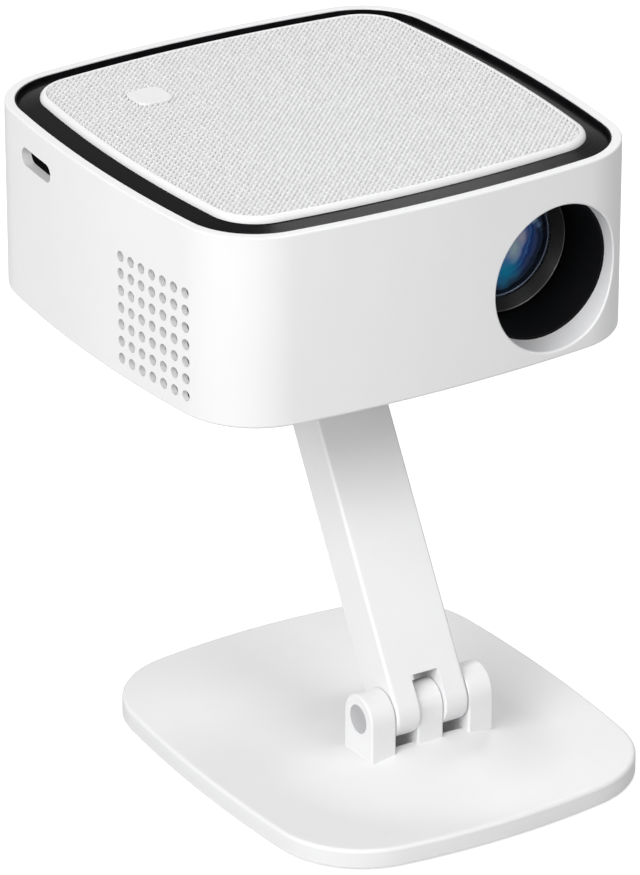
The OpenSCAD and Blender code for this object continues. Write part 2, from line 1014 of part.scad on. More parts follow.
fan_seat = 0.5;
fan_screw_r = 1.2;
fan_screw_bite = 2;
fan_gap = 0.9;
rear_fan_y = half_depth(rear_vent_x + rear_fan_w / 2) - wall - fan_seat - fan_t;
sink_depth = 10.6;
led_t = 1.6;
sink_y = rear_fan_y - fan_gap - sink_depth;
engine_w = 54;
engine_z0 = floor_t + brace_t;
engine_top = deck_z - 0.3;
engine_back = sink_y - led_t;
engine_len = engine_back - engine_front;
engine_wall = 2;
engine_x0 = lens_x - engine_w / 2;
engine_x1 = lens_x + engine_w / 2;
lid_t = 2;
bay_x0 = engine_x0 + engine_wall;
bay_x1 = engine_x1 - engine_wall;
bay_z0 = engine_z0 + engine_wall;
bay_z1 = engine_top - lid_t;
condenser_r = 17;

module pane(y, t) {
    block([bay_x0, y, bay_z0], [bay_x1, y + t, bay_z1]);
}

module engine_box() {
    on_head()
        color("#3a3a3c")
            difference() {
                block([engine_x0, engine_front, engine_z0], [engine_x1, engine_back, bay_z1]);
                block([bay_x0, engine_front + 3, bay_z0], [bay_x1, engine_back - engine_wall, head_h]);
                on_lens_axis(0) {
                    rod_y(glass_r - 1, engine_front - 1, engine_front + 4);
                    rod_y(condenser_r - 3, engine_back - 4, engine_back + 1);
                    at(rod_at)
                        rod_y(rod_r, engine_front - 1, engine_front + 2);
                }
            }
}

module engine_lid() {
    on_head()
        color("#3a3a3c")
            block([engine_x0, engine_front, bay_z1], [engine_x1, engine_back, engine_top]);
}

module field_lens() {
    on_head()
        color("lightblue", 0.6)
            pane(engine_front + engine_len * 0.15, 1.6);
}

module lcd_panel() {
    on_head()
        color("midnightblue")
            pane(engine_front + engine_len * 0.26, 2);
}

module fresnel_lens() {
    on_head()
        color("lightblue", 0.6)
            pane(engine_front + engine_len * 0.48, 1.6);
}

module condenser_lens() {
    on_head()
        color("lightblue", 0.6)
            on_lens_axis(engine_back - engine_wall)
                forward()
                    glass(condenser_r, 3, 5);
}

led_w = 26;
sink_w = 38;
sink_h = 34;
sink_base_t = 2.5;
fin_count = 9;
fin_t = 1;

module led_module() {
    on_head()
        color("goldenrod")
            on_lens_axis(engine_back) {
                block([-led_w / 2, 0, -led_w / 2], [led_w / 2, led_t, led_w / 2]);
                rod_y(7, -1, eps);
            }
}

module heat_sink() {
    on_head()
        color("silver")
            translate([rear_vent_x - sink_w / 2, sink_y, vent_height - sink_h / 2]) {
                block([0, 0, 0], [sink_w, sink_base_t, sink_h]);
                for (i = [0:fin_count - 1])
                    translate([i * (sink_w - fin_t) / (fin_count - 1), 0, 0])
                        block([0, 0, 0], [fin_t, sink_depth, sink_h]);
            }
}

// ---- fans, drawn with the air along +Z from z = 0 ----

hub_r = 8.5;
blade_count = 7;
fan_hole = 2.6;
fan_rib_t = 1.4;
filter_t = 0.4;

module fan_frame(w) {
    difference() {
        slab(round_rect(w, w, 3), 0, fan_t);
        translate([0, 0, -1])
            cylinder(r = w / 2 - 1.2, h = fan_t + 2, $fn = 72);
        for (x = [-1, 1])
            for (y = [-1, 1])
                translate([x * (w / 2 - fan_hole), y * (w / 2 - fan_hole), -1])
                    cylinder(r = fan_screw_r, h = fan_t + 2);
    }
    cylinder(r = hub_r, h = fan_rib_t);
    for (a = [45:90:315])
        rotate([0, 0, a])
            block([hub_r - 1, -1, 0], [w / 2 - 0.8, 1, fan_rib_t]);
    cylinder(r = 1, h = 5);
}

module fan_rotor(w) {
    difference() {
        translate([0, 0, 1.8])
            cylinder(r = hub_r, h = fan_t - 2.6);
        translate([0, 0, 1])
            cylinder(r = 1 + run_gap, h = 4.4);
    }
    intersection() {
        translate([0, 0, 2])
            difference() {
                cylinder(r = w / 2 - 1.8, h = fan_t - 3, $fn = 72);
                cylinder(r = hub_r - 0.5, h = fan_t);
            }
        for (i = [0:blade_count - 1])
            rotate([0, 0, i * 360 / blade_count])
                translate([w / 4, 0, fan_t / 2 + 0.3])
                    rotate([38, 0, 0])
                        cube([w / 2, 1, 2 * fan_t], center = true);
    }
}

side_fan_x = -half_width(abs(vent_y) + side_fan_w / 2) + wall + fan_seat;

module at_side_fan() {
    on_head()
        translate([side_fan_x, vent_y, vent_height])
            rotate([0, 90, 0])
                children();
}

module at_rear_fan() {
    on_head()
        translate([rear_vent_x, rear_fan_y + fan_t, vent_height])
            rotate([90, 0, 0])
                children();
}

// A dust filter on the back of the intake fan, behind the side vents
module dust_filter() {
    at_side_fan()
        color("gray")
            difference() {
                slab(round_rect(side_fan_w - 3, side_fan_w - 3, 1), -filter_t, 0);
                for (x = [-1, 1])
                    for (y = [-1, 1])
                        translate([x * (side_fan_w / 2 - fan_hole), y * (side_fan_w / 2 - fan_hole), -1])
                            cylinder(r = fan_screw_r + 0.3, h = 2);
            }
}

module side_fan_frame() {
    at_side_fan()
        color(black)
            fan_frame(side_fan_w);
}

module side_fan_rotor() {
    at_side_fan()
        color("#2a2a2c")
            fan_rotor(side_fan_w);
}

module rear_fan_frame() {
    at_rear_fan()
        color(black)
            fan_frame(rear_fan_w);
}

module rear_fan_rotor() {
    at_rear_fan()
        color("#2a2a2c")
            fan_rotor(rear_fan_w);
}

// Each fan is held at the two corners nearest the wall
module side_fan_screw_places() {
    for (s = [-1, 1])
        at_side_fan()
            translate([s * (side_fan_w / 2 - fan_hole), fan_hole - side_fan_w / 2, fan_t])
                rotate([180, 0, 0])
                    children();
}

module rear_fan_screw_places() {
    for (s = [-1, 1])
        at_rear_fan()
            translate([rear_fan_w / 2 - fan_hole, s * (rear_fan_w / 2 - fan_hole), fan_t])
                rotate([180, 0, 0])
                    children();
}

module fan_screws() {
    color(steel) {
        side_fan_screw_places()
            screw(2, 0.8, fan_screw_r, fan_t + fan_screw_bite);
        rear_fan_screw_places()
            screw(2, 0.8, fan_screw_r, fan_t + fan_screw_bite);
    }
}

// ---- speaker ----

speaker_x = (side_fan_x + fan_t + engine_x0) / 2;
speaker_y = flange_y - 5.4;
speaker_r = 20;
basket_depth = 10;

module at_speaker() {
    on_head()
        translate([speaker_x, speaker_y, deck_z])
            children();
}

module speaker_basket() {
    at_speaker()
        color("dimgray")
            rotate_extrude($fn = 72)
                polygon([[speaker_r, -1.6], [speaker_r, 0], [speaker_r - 2.4, 0],
                    [speaker_r - 2.4, -0.8], [speaker_r - 3.4, -0.8], [10.5, 1 - basket_depth],
                    [6, 1 - basket_depth], [6, -basket_depth], [12, -basket_depth]]);
}

module speaker_cone() {
    at_speaker()
        color(black)
            rotate_extrude($fn = 72)
                polygon([[0, -4.6], [5, -5.2], [speaker_r - 3.6, 0], [speaker_r - 2.5, 0],
                    [speaker_r - 2.5, -0.8], [speaker_r - 4, -0.8], [5, -6.2], [0, -5.8]]);
}

module speaker_magnet() {
    at_speaker()
        color("silver")
            translate([0, 0, -basket_depth - 6])
                difference() {
                    cylinder(r = 12, h = 6);
                    translate([0, 0, -1])
                        cylinder(r = 2.5, h = 5);
                }
}

// ---- boards and ports ----

board_z = 7;
board_t = 1.6;
board_gap = 3.5;
hole_inset = 3.5;
main_lo = [21 - head_w / 2, flange_y + flange_d / 2 + 5.6];
main_hi = [engine_x0 - board_gap, head_d / 2 - 12.5];
driver_lo = [25 - head_w / 2, 12.5 - head_d / 2];
driver_hi = [engine_x0 - board_gap, flange_y - flange_d / 2 - 4.4];
chip_w = 24;
chip_fins = 6;
chip_fin_t = 1.5;

function inset_corners(lo, hi, s) =
    [[lo.x + s, lo.y + s, 0], [hi.x - s, lo.y + s, 0], [lo.x + s, hi.y - s, 0], [hi.x - s, hi.y - s, 0]];

main_standoffs = inset_corners(main_lo, main_hi, hole_inset);
driver_standoffs = inset_corners(driver_lo, driver_hi, hole_inset);

module board(lo, hi) {
    difference() {
        block([lo.x, lo.y, board_z], [hi.x, hi.y, board_z + board_t]);
        at(inset_corners(lo, hi, hole_inset))
            cylinder(r = 1, h = head_h);
    }
}

module main_board() {
    on_head()
        color("darkgreen")
            board(main_lo, main_hi);
}

module chip_heat_sink() {
    on_head()
        color("silver")
            translate([(main_lo.x + main_hi.x - chip_w) / 2, main_lo.y, board_z + board_t]) {
                block([0, 0, 0], [chip_w, chip_w, 2]);
                for (i = [0:chip_fins - 1])
                    translate([i * (chip_w - chip_fin_t) / (chip_fins - 1), 0, 0])
                        block([0, 0, 0], [chip_fin_t, chip_w, 7]);
            }
}

module driver_board() {
    on_head()
        color("darkgreen") {
            board(driver_lo, driver_hi);
            translate([(driver_lo.x + driver_hi.x) / 2, (driver_lo.y + driver_hi.y) / 2,
                board_z + board_t]) {
                cylinder(r = 7, h = 8);
                block([10, -8, 0], [19, 4, 9]);
                block([-20, -6, 0], [-10, 6, 5]);
            }
        }
}

port_plate_y = half_depth(ports_x0) - wall;
port_plate_t = 1.6;
port_frame = 1.2;
socket_z = board_z + board_t;
socket_y = main_hi.y - 2;
socket_room = 8;

// Each socket: the share of the window at its middle, the share of its width, and its height
power_socket = [0.11, 0.16, 11];
display_socket = [0.35, 0.26, 6];
data_socket = [0.65, 0.24, 7];
sound_socket = [0.88, 0.12, 6];
sockets = [power_socket, display_socket, data_socket, sound_socket];

function socket_x(s) = ports_x0 + s[0] * ports_w;

function socket_half(s) = s[1] * ports_w / 2;

module port_plate() {
    on_head()
        color(black)
            difference() {
                intersection() {
                    block([ports_x0 - port_frame, port_plate_y - port_plate_t, ports_z0 - port_frame],
                        [ports_x1 + port_frame, head_d, ports_z1 + port_frame]);
                    slab(head_outline(wall + 0.1), 0, head_h);
                }
                block([ports_x0, port_plate_y, ports_z0], [ports_x1, head_d, ports_z1]);
                port_bodies(0);
            }
}

module port_bodies(shrink) {
    for (s = sockets)
        block([socket_x(s) - socket_half(s) + shrink, socket_y, socket_z],
            [socket_x(s) + socket_half(s) - shrink, port_plate_y, socket_z + s[2] - shrink]);
}

// A slot in the face of a socket, from z0 to z1 above the board
module socket_slot(s, edge, z0, z1) {
    block([socket_x(s) - socket_half(s) + edge, port_plate_y - socket_room, socket_z + z0],
        [socket_x(s) + socket_half(s) - edge, port_plate_y + 1, socket_z + z1]);
}

module port_sockets() {
    on_head()
        color(steel)
            difference() {
                port_bodies(0.05);
                translate([socket_x(power_socket), 0, socket_z + 6])
                    difference() {
                        rod_y(3, port_plate_y - socket_room, port_plate_y + 1);
                        rod_y(1, port_plate_y - socket_room - 1, port_plate_y - 1);
                    }
                translate([socket_x(sound_socket), 0, socket_z + 3])
                    rod_y(1.8, port_plate_y - socket_room, port_plate_y + 1);
                socket_slot(display_socket, 0.9, 0.9, 2);
                socket_slot(display_socket, 0.9, 3.4, 5);
                socket_slot(data_socket, 0.8, 0.9, 3);
            }
}

base_cover();
base_weight();
base_bottom();
base_pad();
base_screws();
lower_hinge_pin();
lower_pin_cap();
arm_shell();
arm_back_cover();
arm_core();
arm_screws();
lower_friction_sleeves();
upper_friction_sleeves();
head_bracket();
bracket_plate();
bracket_screws();
upper_hinge_pin();
upper_pin_cap();
head_shell();
bottom_cover();
case_screws();
top_deck();
black_band();
top_panel();
top_mesh();
power_button();
button_switch();
strap_pocket();
lens_shroud();
guide_rods();
lens_carriage();
lens_barrel();
barrel_rim();
inner_rim();
front_glass();
rear_glass();
focus_screw();
focus_motor();
engine_box();
engine_lid();
field_lens();
lcd_panel();
fresnel_lens();
condenser_lens();
led_module();
heat_sink();
dust_filter();
side_fan_frame();
side_fan_rotor();
rear_fan_frame();
rear_fan_rotor();
fan_screws();
speaker_basket();
speaker_cone();
speaker_magnet();
main_board();
chip_heat_sink();
driver_board();
port_plate();
port_sockets();
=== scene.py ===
"""Looks of a compact table projector on a folding stand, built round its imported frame."""

import json
import logging
import math
from collections.abc import Sequence
from dataclasses import dataclass, field
from enum import Enum

import bmesh
import bpy
from mathutils import Matrix, Vector


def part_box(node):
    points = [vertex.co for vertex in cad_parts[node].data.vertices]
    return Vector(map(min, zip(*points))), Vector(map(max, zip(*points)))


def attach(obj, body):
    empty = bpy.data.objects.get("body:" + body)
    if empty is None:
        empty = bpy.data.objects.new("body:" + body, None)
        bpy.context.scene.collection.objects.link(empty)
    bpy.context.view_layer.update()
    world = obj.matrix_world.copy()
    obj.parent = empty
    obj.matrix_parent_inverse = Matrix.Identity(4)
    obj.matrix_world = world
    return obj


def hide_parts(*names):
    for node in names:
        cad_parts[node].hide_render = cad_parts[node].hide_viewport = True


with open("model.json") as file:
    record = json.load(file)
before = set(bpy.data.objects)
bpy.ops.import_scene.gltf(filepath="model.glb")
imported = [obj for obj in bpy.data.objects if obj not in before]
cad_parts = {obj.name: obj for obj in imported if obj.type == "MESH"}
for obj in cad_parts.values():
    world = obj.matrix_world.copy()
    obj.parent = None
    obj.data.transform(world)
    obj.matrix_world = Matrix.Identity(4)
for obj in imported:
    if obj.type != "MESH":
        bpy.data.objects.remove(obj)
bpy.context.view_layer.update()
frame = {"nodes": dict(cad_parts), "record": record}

MM = 0.001
HAIR = 0.001 * MM
X, Y, Z = Vector((1, 0, 0)), Vector((0, 1, 0)), Vector((0, 0, 1))
CORNERS = ((1, 1), (-1, 1), (-1, -1), (1, -1))
CORNER_STEPS = 8
FILLET_STEPS = 4
KNUCKLE_STEPS = 28
EDGE_ANGLE = 32.0
SHARP_ANGLE = 60.0
SMOOTH_ANGLE = 40.0
NORMAL_WEIGHT = 60
WHITE = (1, 1, 1, 1)

Ring = list[Vector]
Colour = tuple[float, float, float]
Triple = tuple[float, float, float]
Profile = Sequence[tuple[float, float]]
log = logging.getLogger("projector")


class Join(Enum):
    """How a tool solid acts on the piece that it meets."""

    CUT = "DIFFERENCE"
    WELD = "UNION"
    KEEP = "INTERSECT"


class Body(Enum):
    """The moving bodies that new pieces ride on."""

    BASE = "base"
    ARM = "arm"
    HEAD = "head"
    LENS = "lens"
    BUTTON = "power_button"


# ---- modelling ----


def clear_selection() -> None:
    """Leave edit mode and deselect every object."""
    if bpy.context.object and bpy.context.object.mode != "OBJECT":
        bpy.ops.object.mode_set(mode="OBJECT")
    bpy.ops.object.select_all(action="DESELECT")


def pick(obj: bpy.types.Object) -> None:
    """Make one object the only one selected, and the active one.

    Args:
        obj: The object.
    """
    clear_selection()
    obj.select_set(True)
    bpy.context.view_layer.objects.active = obj


def apply_modifier(obj: bpy.types.Object, kind: str, **settings: object) -> None:
    """Add one modifier to a piece and apply it.

    Args:
        obj: The piece.
        kind: Blender's name for the modifier.
        **settings: The modifier's own values.
    """
    pick(obj)
    modifier = obj.modifiers.new("step", kind)
    for key, value in settings.items():
        setattr(modifier, key, value)
    bpy.ops.object.modifier_apply(modifier=modifier.name)


def loft(name: str, rings: Sequence[Ring], closed: bool = False) -> bpy.types.Object:
    """Lay a circle on the first ring and extrude it through all the others.

    Args:
        name: Name of the piece.
        rings: Rings with the same number of points, in order.
        closed: True where the last ring joins the first, as on a hoop.

    Returns:
        The lofted piece, with its faces outwards.
    """
    clear_selection()
    fill = "NOTHING" if closed else "NGON"
    bpy.ops.mesh.primitive_circle_add(vertices=len(rings[0]), radius=MM, fill_type=fill)
    obj = bpy.context.object
    obj.name = obj.data.name = name
    bpy.ops.object.mode_set(mode="EDIT")
    bpy.ops.mesh.select_mode(type="EDGE")
    bpy.ops.mesh.select_all(action="SELECT")
    sheet = bmesh.from_edit_mesh(obj.data)
    turn = sheet.verts.layers.int.new("turn")
    for place, vert in enumerate(sheet.verts):
        vert[turn] = place
        vert.co = rings[0][place]
    bmesh.update_edit_mesh(obj.data)
    for ring in rings[1:]:
        bpy.ops.mesh.extrude_edges_move()
        sheet = bmesh.from_edit_mesh(obj.data)
        turn = sheet.verts.layers.int["turn"]
        for vert in sheet.verts:
            if vert.select:
                vert.co = ring[vert[turn]]
        bmesh.update_edit_mesh(obj.data)
    if not closed:
        bpy.ops.mesh.edge_face_add()
    bpy.ops.mesh.select_all(action="SELECT")
    bpy.ops.mesh.remove_doubles(threshold=HAIR)
    bpy.ops.mesh.normals_make_consistent(inside=False)
    bpy.ops.object.mode_set(mode="OBJECT")
    obj.data.attributes.remove(obj.data.attributes["turn"])
    return obj


def prism(name: str, outline: Ring, along: Vector) -> bpy.types.Object:
    """Extrude a flat outline straight along a direction.

    Args:
        name: Name of the piece.
        outline: The outline's points in order.
        along: Where the outline ends up, as a step from its start.

    Returns:
        The closed solid.
    """
    return loft(name, [outline, [point + along for point in outline]])


def circle(centre: Vector, radius: float, axis: Vector, count: int = 64) -> Ring:
    """Points of a circle about an axis.

    Args:
        centre: The circle's centre.
        radius: Its radius.
        axis: The direction of its axis.
        count: How many points it has.

    Returns:
        The points in order.
    """
    turn = axis.normalized().to_track_quat("Z", "Y")
    angles = (2 * math.pi * i / count for i in range(count))
    spots = (Vector((radius * math.cos(a), radius * math.sin(a), 0)) for a in angles)
    return [centre + turn @ spot for spot in spots]


def turned(
    name: str, start: Vector, axis: Vector, profile: Profile, closed: bool = True, count: int = 96
) -> bpy.types.Object:
    """A round part made by extruding and resizing a circle along an axis.

    Args:
        name: Name of the piece.
        start: The point on the axis where distances start.
        axis: The direction of the axis.
        profile: Pairs of radius and distance along the axis.
        closed: True for a ring whose profile closes on itself.
        count: How many points go round.

    Returns:
        The round piece.
    """
    way = axis.normalized()
    rings = [circle(start + way * along, radius, way, count) for radius, along in profile]
    if closed:
        rings.append(rings[0])
    return loft(name, rings, closed)


def combine(obj: bpy.types.Object, tool: bpy.types.Object, how: Join) -> None:
    """Cut, weld or trim a piece with a tool solid, which is then thrown away."""
    apply_modifier(obj, "BOOLEAN", operation=how.value, object=tool, solver="EXACT")
    bpy.data.objects.remove(tool)


def gather(obj: bpy.types.Object, *others: bpy.types.Object) -> bpy.types.Object:
    """Join separate shells into one piece.

    Args:
        obj: The piece that takes the others in.
        *others: The shells that become part of it.

    Returns:
        The joined piece.
    """
    pick(obj)
    for other in others:
        other.select_set(True)
    bpy.ops.object.join()
    return obj


def row(obj: bpy.types.Object, count: int, step: Vector) -> None:
    """Repeat a piece's shape in a straight row of its own mesh.

    Args:
        obj: The piece.
        count: How many shapes the row has.
        step: The way from one to the next.
    """
    apply_modifier(
        obj, "ARRAY", count=count, use_relative_offset=False,
        use_constant_offset=True, constant_offset_displace=step,
    )


def bevel(
    obj: bpy.types.Object, width: float, segments: int = 3, angle: float = SHARP_ANGLE
) -> None:
    """Round the edges of a piece that are sharper than an angle.

    Args:
        obj: The piece.
        width: How far each edge is rounded.
        segments: Steps round each edge.
        angle: The least angle of an edge that is rounded, in degrees.
    """
    apply_modifier(
        obj, "BEVEL", width=width, segments=segments, limit_method="ANGLE",
        angle_limit=math.radians(angle),
    )


def smooth(obj: bpy.types.Object) -> None:
    """Smooth a piece's shading between its sharp edges.

    Args:
        obj: The piece.
    """
    pick(obj)
    bpy.ops.object.shade_smooth_by_angle(angle=math.radians(SMOOTH_ANGLE))
    apply_modifier(obj, "WEIGHTED_NORMAL", keep_sharp=True, weight=NORMAL_WEIGHT)


def middle(node: str) -> Vector:
    """The middle of a CAD node's box."""
    low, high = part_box(node)
    return (low + high) / 2


def arc(
    centre: Vector, across: Vector, up: Vector, radius: float, a0: float, a1: float, count: int
) -> Ring:
    """Points of an arc in the plane of two directions.

    Args:
        centre: The arc's centre.
        across: Unit direction at 0 degrees.
        up: Unit direction at 90 degrees.
        radius: The arc's radius.
        a0: Where it starts, in degrees.
        a1: Where it ends, in degrees.
        count: Steps along it.

    Returns:
        The arc's points.
    """
    angles = [math.radians(a0 + (a1 - a0) * i / count) for i in range(count + 1)]
    return [centre + radius * (across * math.cos(a) + up * math.sin(a)) for a in angles]


def rectangle(centre: Vector, across: Vector, up: Vector, width: float, height: float) -> Ring:
    """A plain rectangle about a centre, in the plane of two directions."""
    return [centre + across * sx * width / 2 + up * sy * height / 2 for sx, sy in CORNERS]


def rounded(
    centre: Vector, across: Vector, up: Vector, width: float, height: float, radius: float
) -> Ring:
    """A rectangle with round corners.

    Args:
        centre: Its centre.
        across: Unit direction of its width.
        up: Unit direction of its height.
        width: Its width.
        height: Its height.
        radius: Radius of its corners.

    Returns:
        The outline's points in order.
    """
    points: Ring = []
    for quarter, (sx, sy) in enumerate(CORNERS):
        corner = centre + across * sx * (width / 2 - radius) + up * sy * (height / 2 - radius)
        start = 90 * quarter
        points += arc(corner, across, up, radius, start, start + 90, CORNER_STEPS)
    return points


@dataclass(frozen=True)
class BowedOutline:
    """A rectangle with bowed sides and round corners, seen from above."""

    centre: Vector
    width: float
    depth: float
    bow_front: float
    bow_side: float
    corner: float
    side_steps: int = 12
    corner_steps: int = 14

    def quadrant(self, inset: float) -> list[tuple[float, float]]:
        """One quarter of the outline, from +X round to +Y.

        Args:
            inset: How far the outline is moved in.

        Returns:
            Points about the centre, without the last one on the Y axis.
        """
        half_w, half_d = self.width / 2, self.depth / 2
        big_front = (half_w**2 + self.bow_front**2) / (2 * self.bow_front)
        big_side = (half_d**2 + self.bow_side**2) / (2 * self.bow_side)
        a, b = half_d - big_front, half_w - big_side
        p, q = big_front - self.corner, big_side - self.corner
        length = math.hypot(a, b)
        t = (p * p - q * q + length * length) / (2 * length)
        ux, uy = b / length, -a / length
        rise = math.sqrt(p * p - t * t)
        cx, cy = t * ux + rise * uy, a + t * uy - rise * ux
        side_end, back_end = math.atan2(cy, cx - b), math.atan2(cy - a, cx)
        pieces = [
            (b, 0.0, big_side - inset, 0.0, side_end, self.side_steps),
            (cx, cy, self.corner - inset, side_end, back_end, self.corner_steps),
            (0.0, a, big_front - inset, back_end, math.pi / 2, self.side_steps),
        ]
        points = []
        for px, py, radius, start, end, steps in pieces:
            for i in range(steps):
                angle = start + (end - start) * i / steps
                points.append((px + radius * math.cos(angle), py + radius * math.sin(angle)))
        return points

    def ring(self, inset: float, height: float) -> Ring:
        """The whole outline at a height.

        Args:
            inset: How far it is moved in.
            height: Its height in the row frame.

        Returns:
            The outline's points in order.
        """
        q = self.quadrant(inset)
        half_depth = self.depth / 2 - inset
        half_width = self.width / 2 - inset
        upper = q + [(0.0, half_depth)] + [(-x, y) for x, y in reversed(q[1:])]
        lower = [(-half_width, 0.0)] + [(-x, -y) for x, y in q[1:]]
        lower += [(0.0, -half_depth)] + [(x, -y) for x, y in reversed(q[1:])]
        return [Vector((self.centre.x + x, self.centre.y + y, height)) for x, y in upper + lower]

    def front(self, x: float) -> float:
        """How far forward the outline reaches at a place across it.

        Args:
            x: The place across it.

        Returns:
            The y of its front side there.

        Raises:
            ValueError: The place lies beside the outline.
        """
        ring = self.ring(0.0, 0.0)
        for p, q in zip(ring, ring[1:] + ring[:1]):
            if max(p.y, q.y) < self.centre.y and p.x <= x <= q.x:
                return p.y + (q.y - p.y) * (x - p.x) / (q.x - p.x)
        raise ValueError(f"the outline has no front at {x}")

    def holds(self, x: float, y: float, inset: float) -> bool:
        """Whether a place lies inside the outline moved in by an inset.

        Args:
            x: The place across the outline.
            y: The place along its depth.
            inset: How far the outline is moved in.

        Returns:
            True for a place inside.
        """
        ring = self.ring(inset, 0.0)
        inside = False
        for p, q in zip(ring, ring[1:] + ring[:1]):
            if (p.y > y) != (q.y > y) and x < p.x + (y - p.y) / (q.y - p.y) * (q.x - p.x):
                inside = not inside
        return inside

    def hoop(self, name: str, section: Profile) -> bpy.types.Object:
        """A closed hoop that follows the outline.

        Args:
            name: Name of the piece.
            section: The hoop's section, as pairs of inset and height.

        Returns:
            The hoop.
        """
        rings = [self.ring(inset, height) for inset, height in section]
        return loft(name, rings + rings[:1], closed=True)


def fillet(
    inset: float, height: float, radius: float, a0: float, a1: float
) -> list[tuple[float, float]]:
    """A section's round edge, as pairs of inset and height.

    Args:
        inset: Inset of the fillet's centre.
        height: Height of the fillet's centre.
        radius: Its radius.
        a0: Where it starts, in degrees, with 0 inwards and 90 upwards.
        a1: Where it ends, in degrees.

    Returns:
        Its points from the start to the end.
    """
    angles = [math.radians(a0 + (a1 - a0) * i / FILLET_STEPS) for i in range(FILLET_STEPS + 1)]
    return [(inset + radius * math.cos(a), height + radius * math.sin(a)) for a in angles]


# ---- finishes ----


class NodeTree:
    """A node tree while it is being built."""

    def __init__(self, tree: bpy.types.NodeTree) -> None:
        """Take up a tree."""
        self.tree = tree

    def feed(self, socket: bpy.types.NodeSocket, value: object) -> None:
        """Link a socket to another one, or set its value.

        Args:
            socket: The socket that is fed.
            value: The socket to link it to, or its value.
        """
        if isinstance(value, bpy.types.NodeSocket):
            self.tree.links.new(value, socket)
        else:
            socket.default_value = value

    def add(
        self, kind: str, feeds: dict[str | int, object] | None = None, **settings: object
    ) -> bpy.types.Node:
        """Add a node, set its own values and feed its sockets.

        Args:
            kind: Blender's name for the node.
            feeds: A socket or a value for each of its sockets that is fed.
            **settings: The node's own values.

        Returns:
            The node.
        """
        node = self.tree.nodes.new(kind)
        for key, value in settings.items():
            setattr(node, key, value)
        for socket, value in (feeds or {}).items():
            self.feed(node.inputs[socket], value)
        return node

    def sums(self, how: str, first: object, second: object = 0.0) -> bpy.types.NodeSocket:
        """One step of arithmetic on sockets or numbers."""
        return self.add("ShaderNodeMath", {0: first, 1: second}, operation=how).outputs[0]


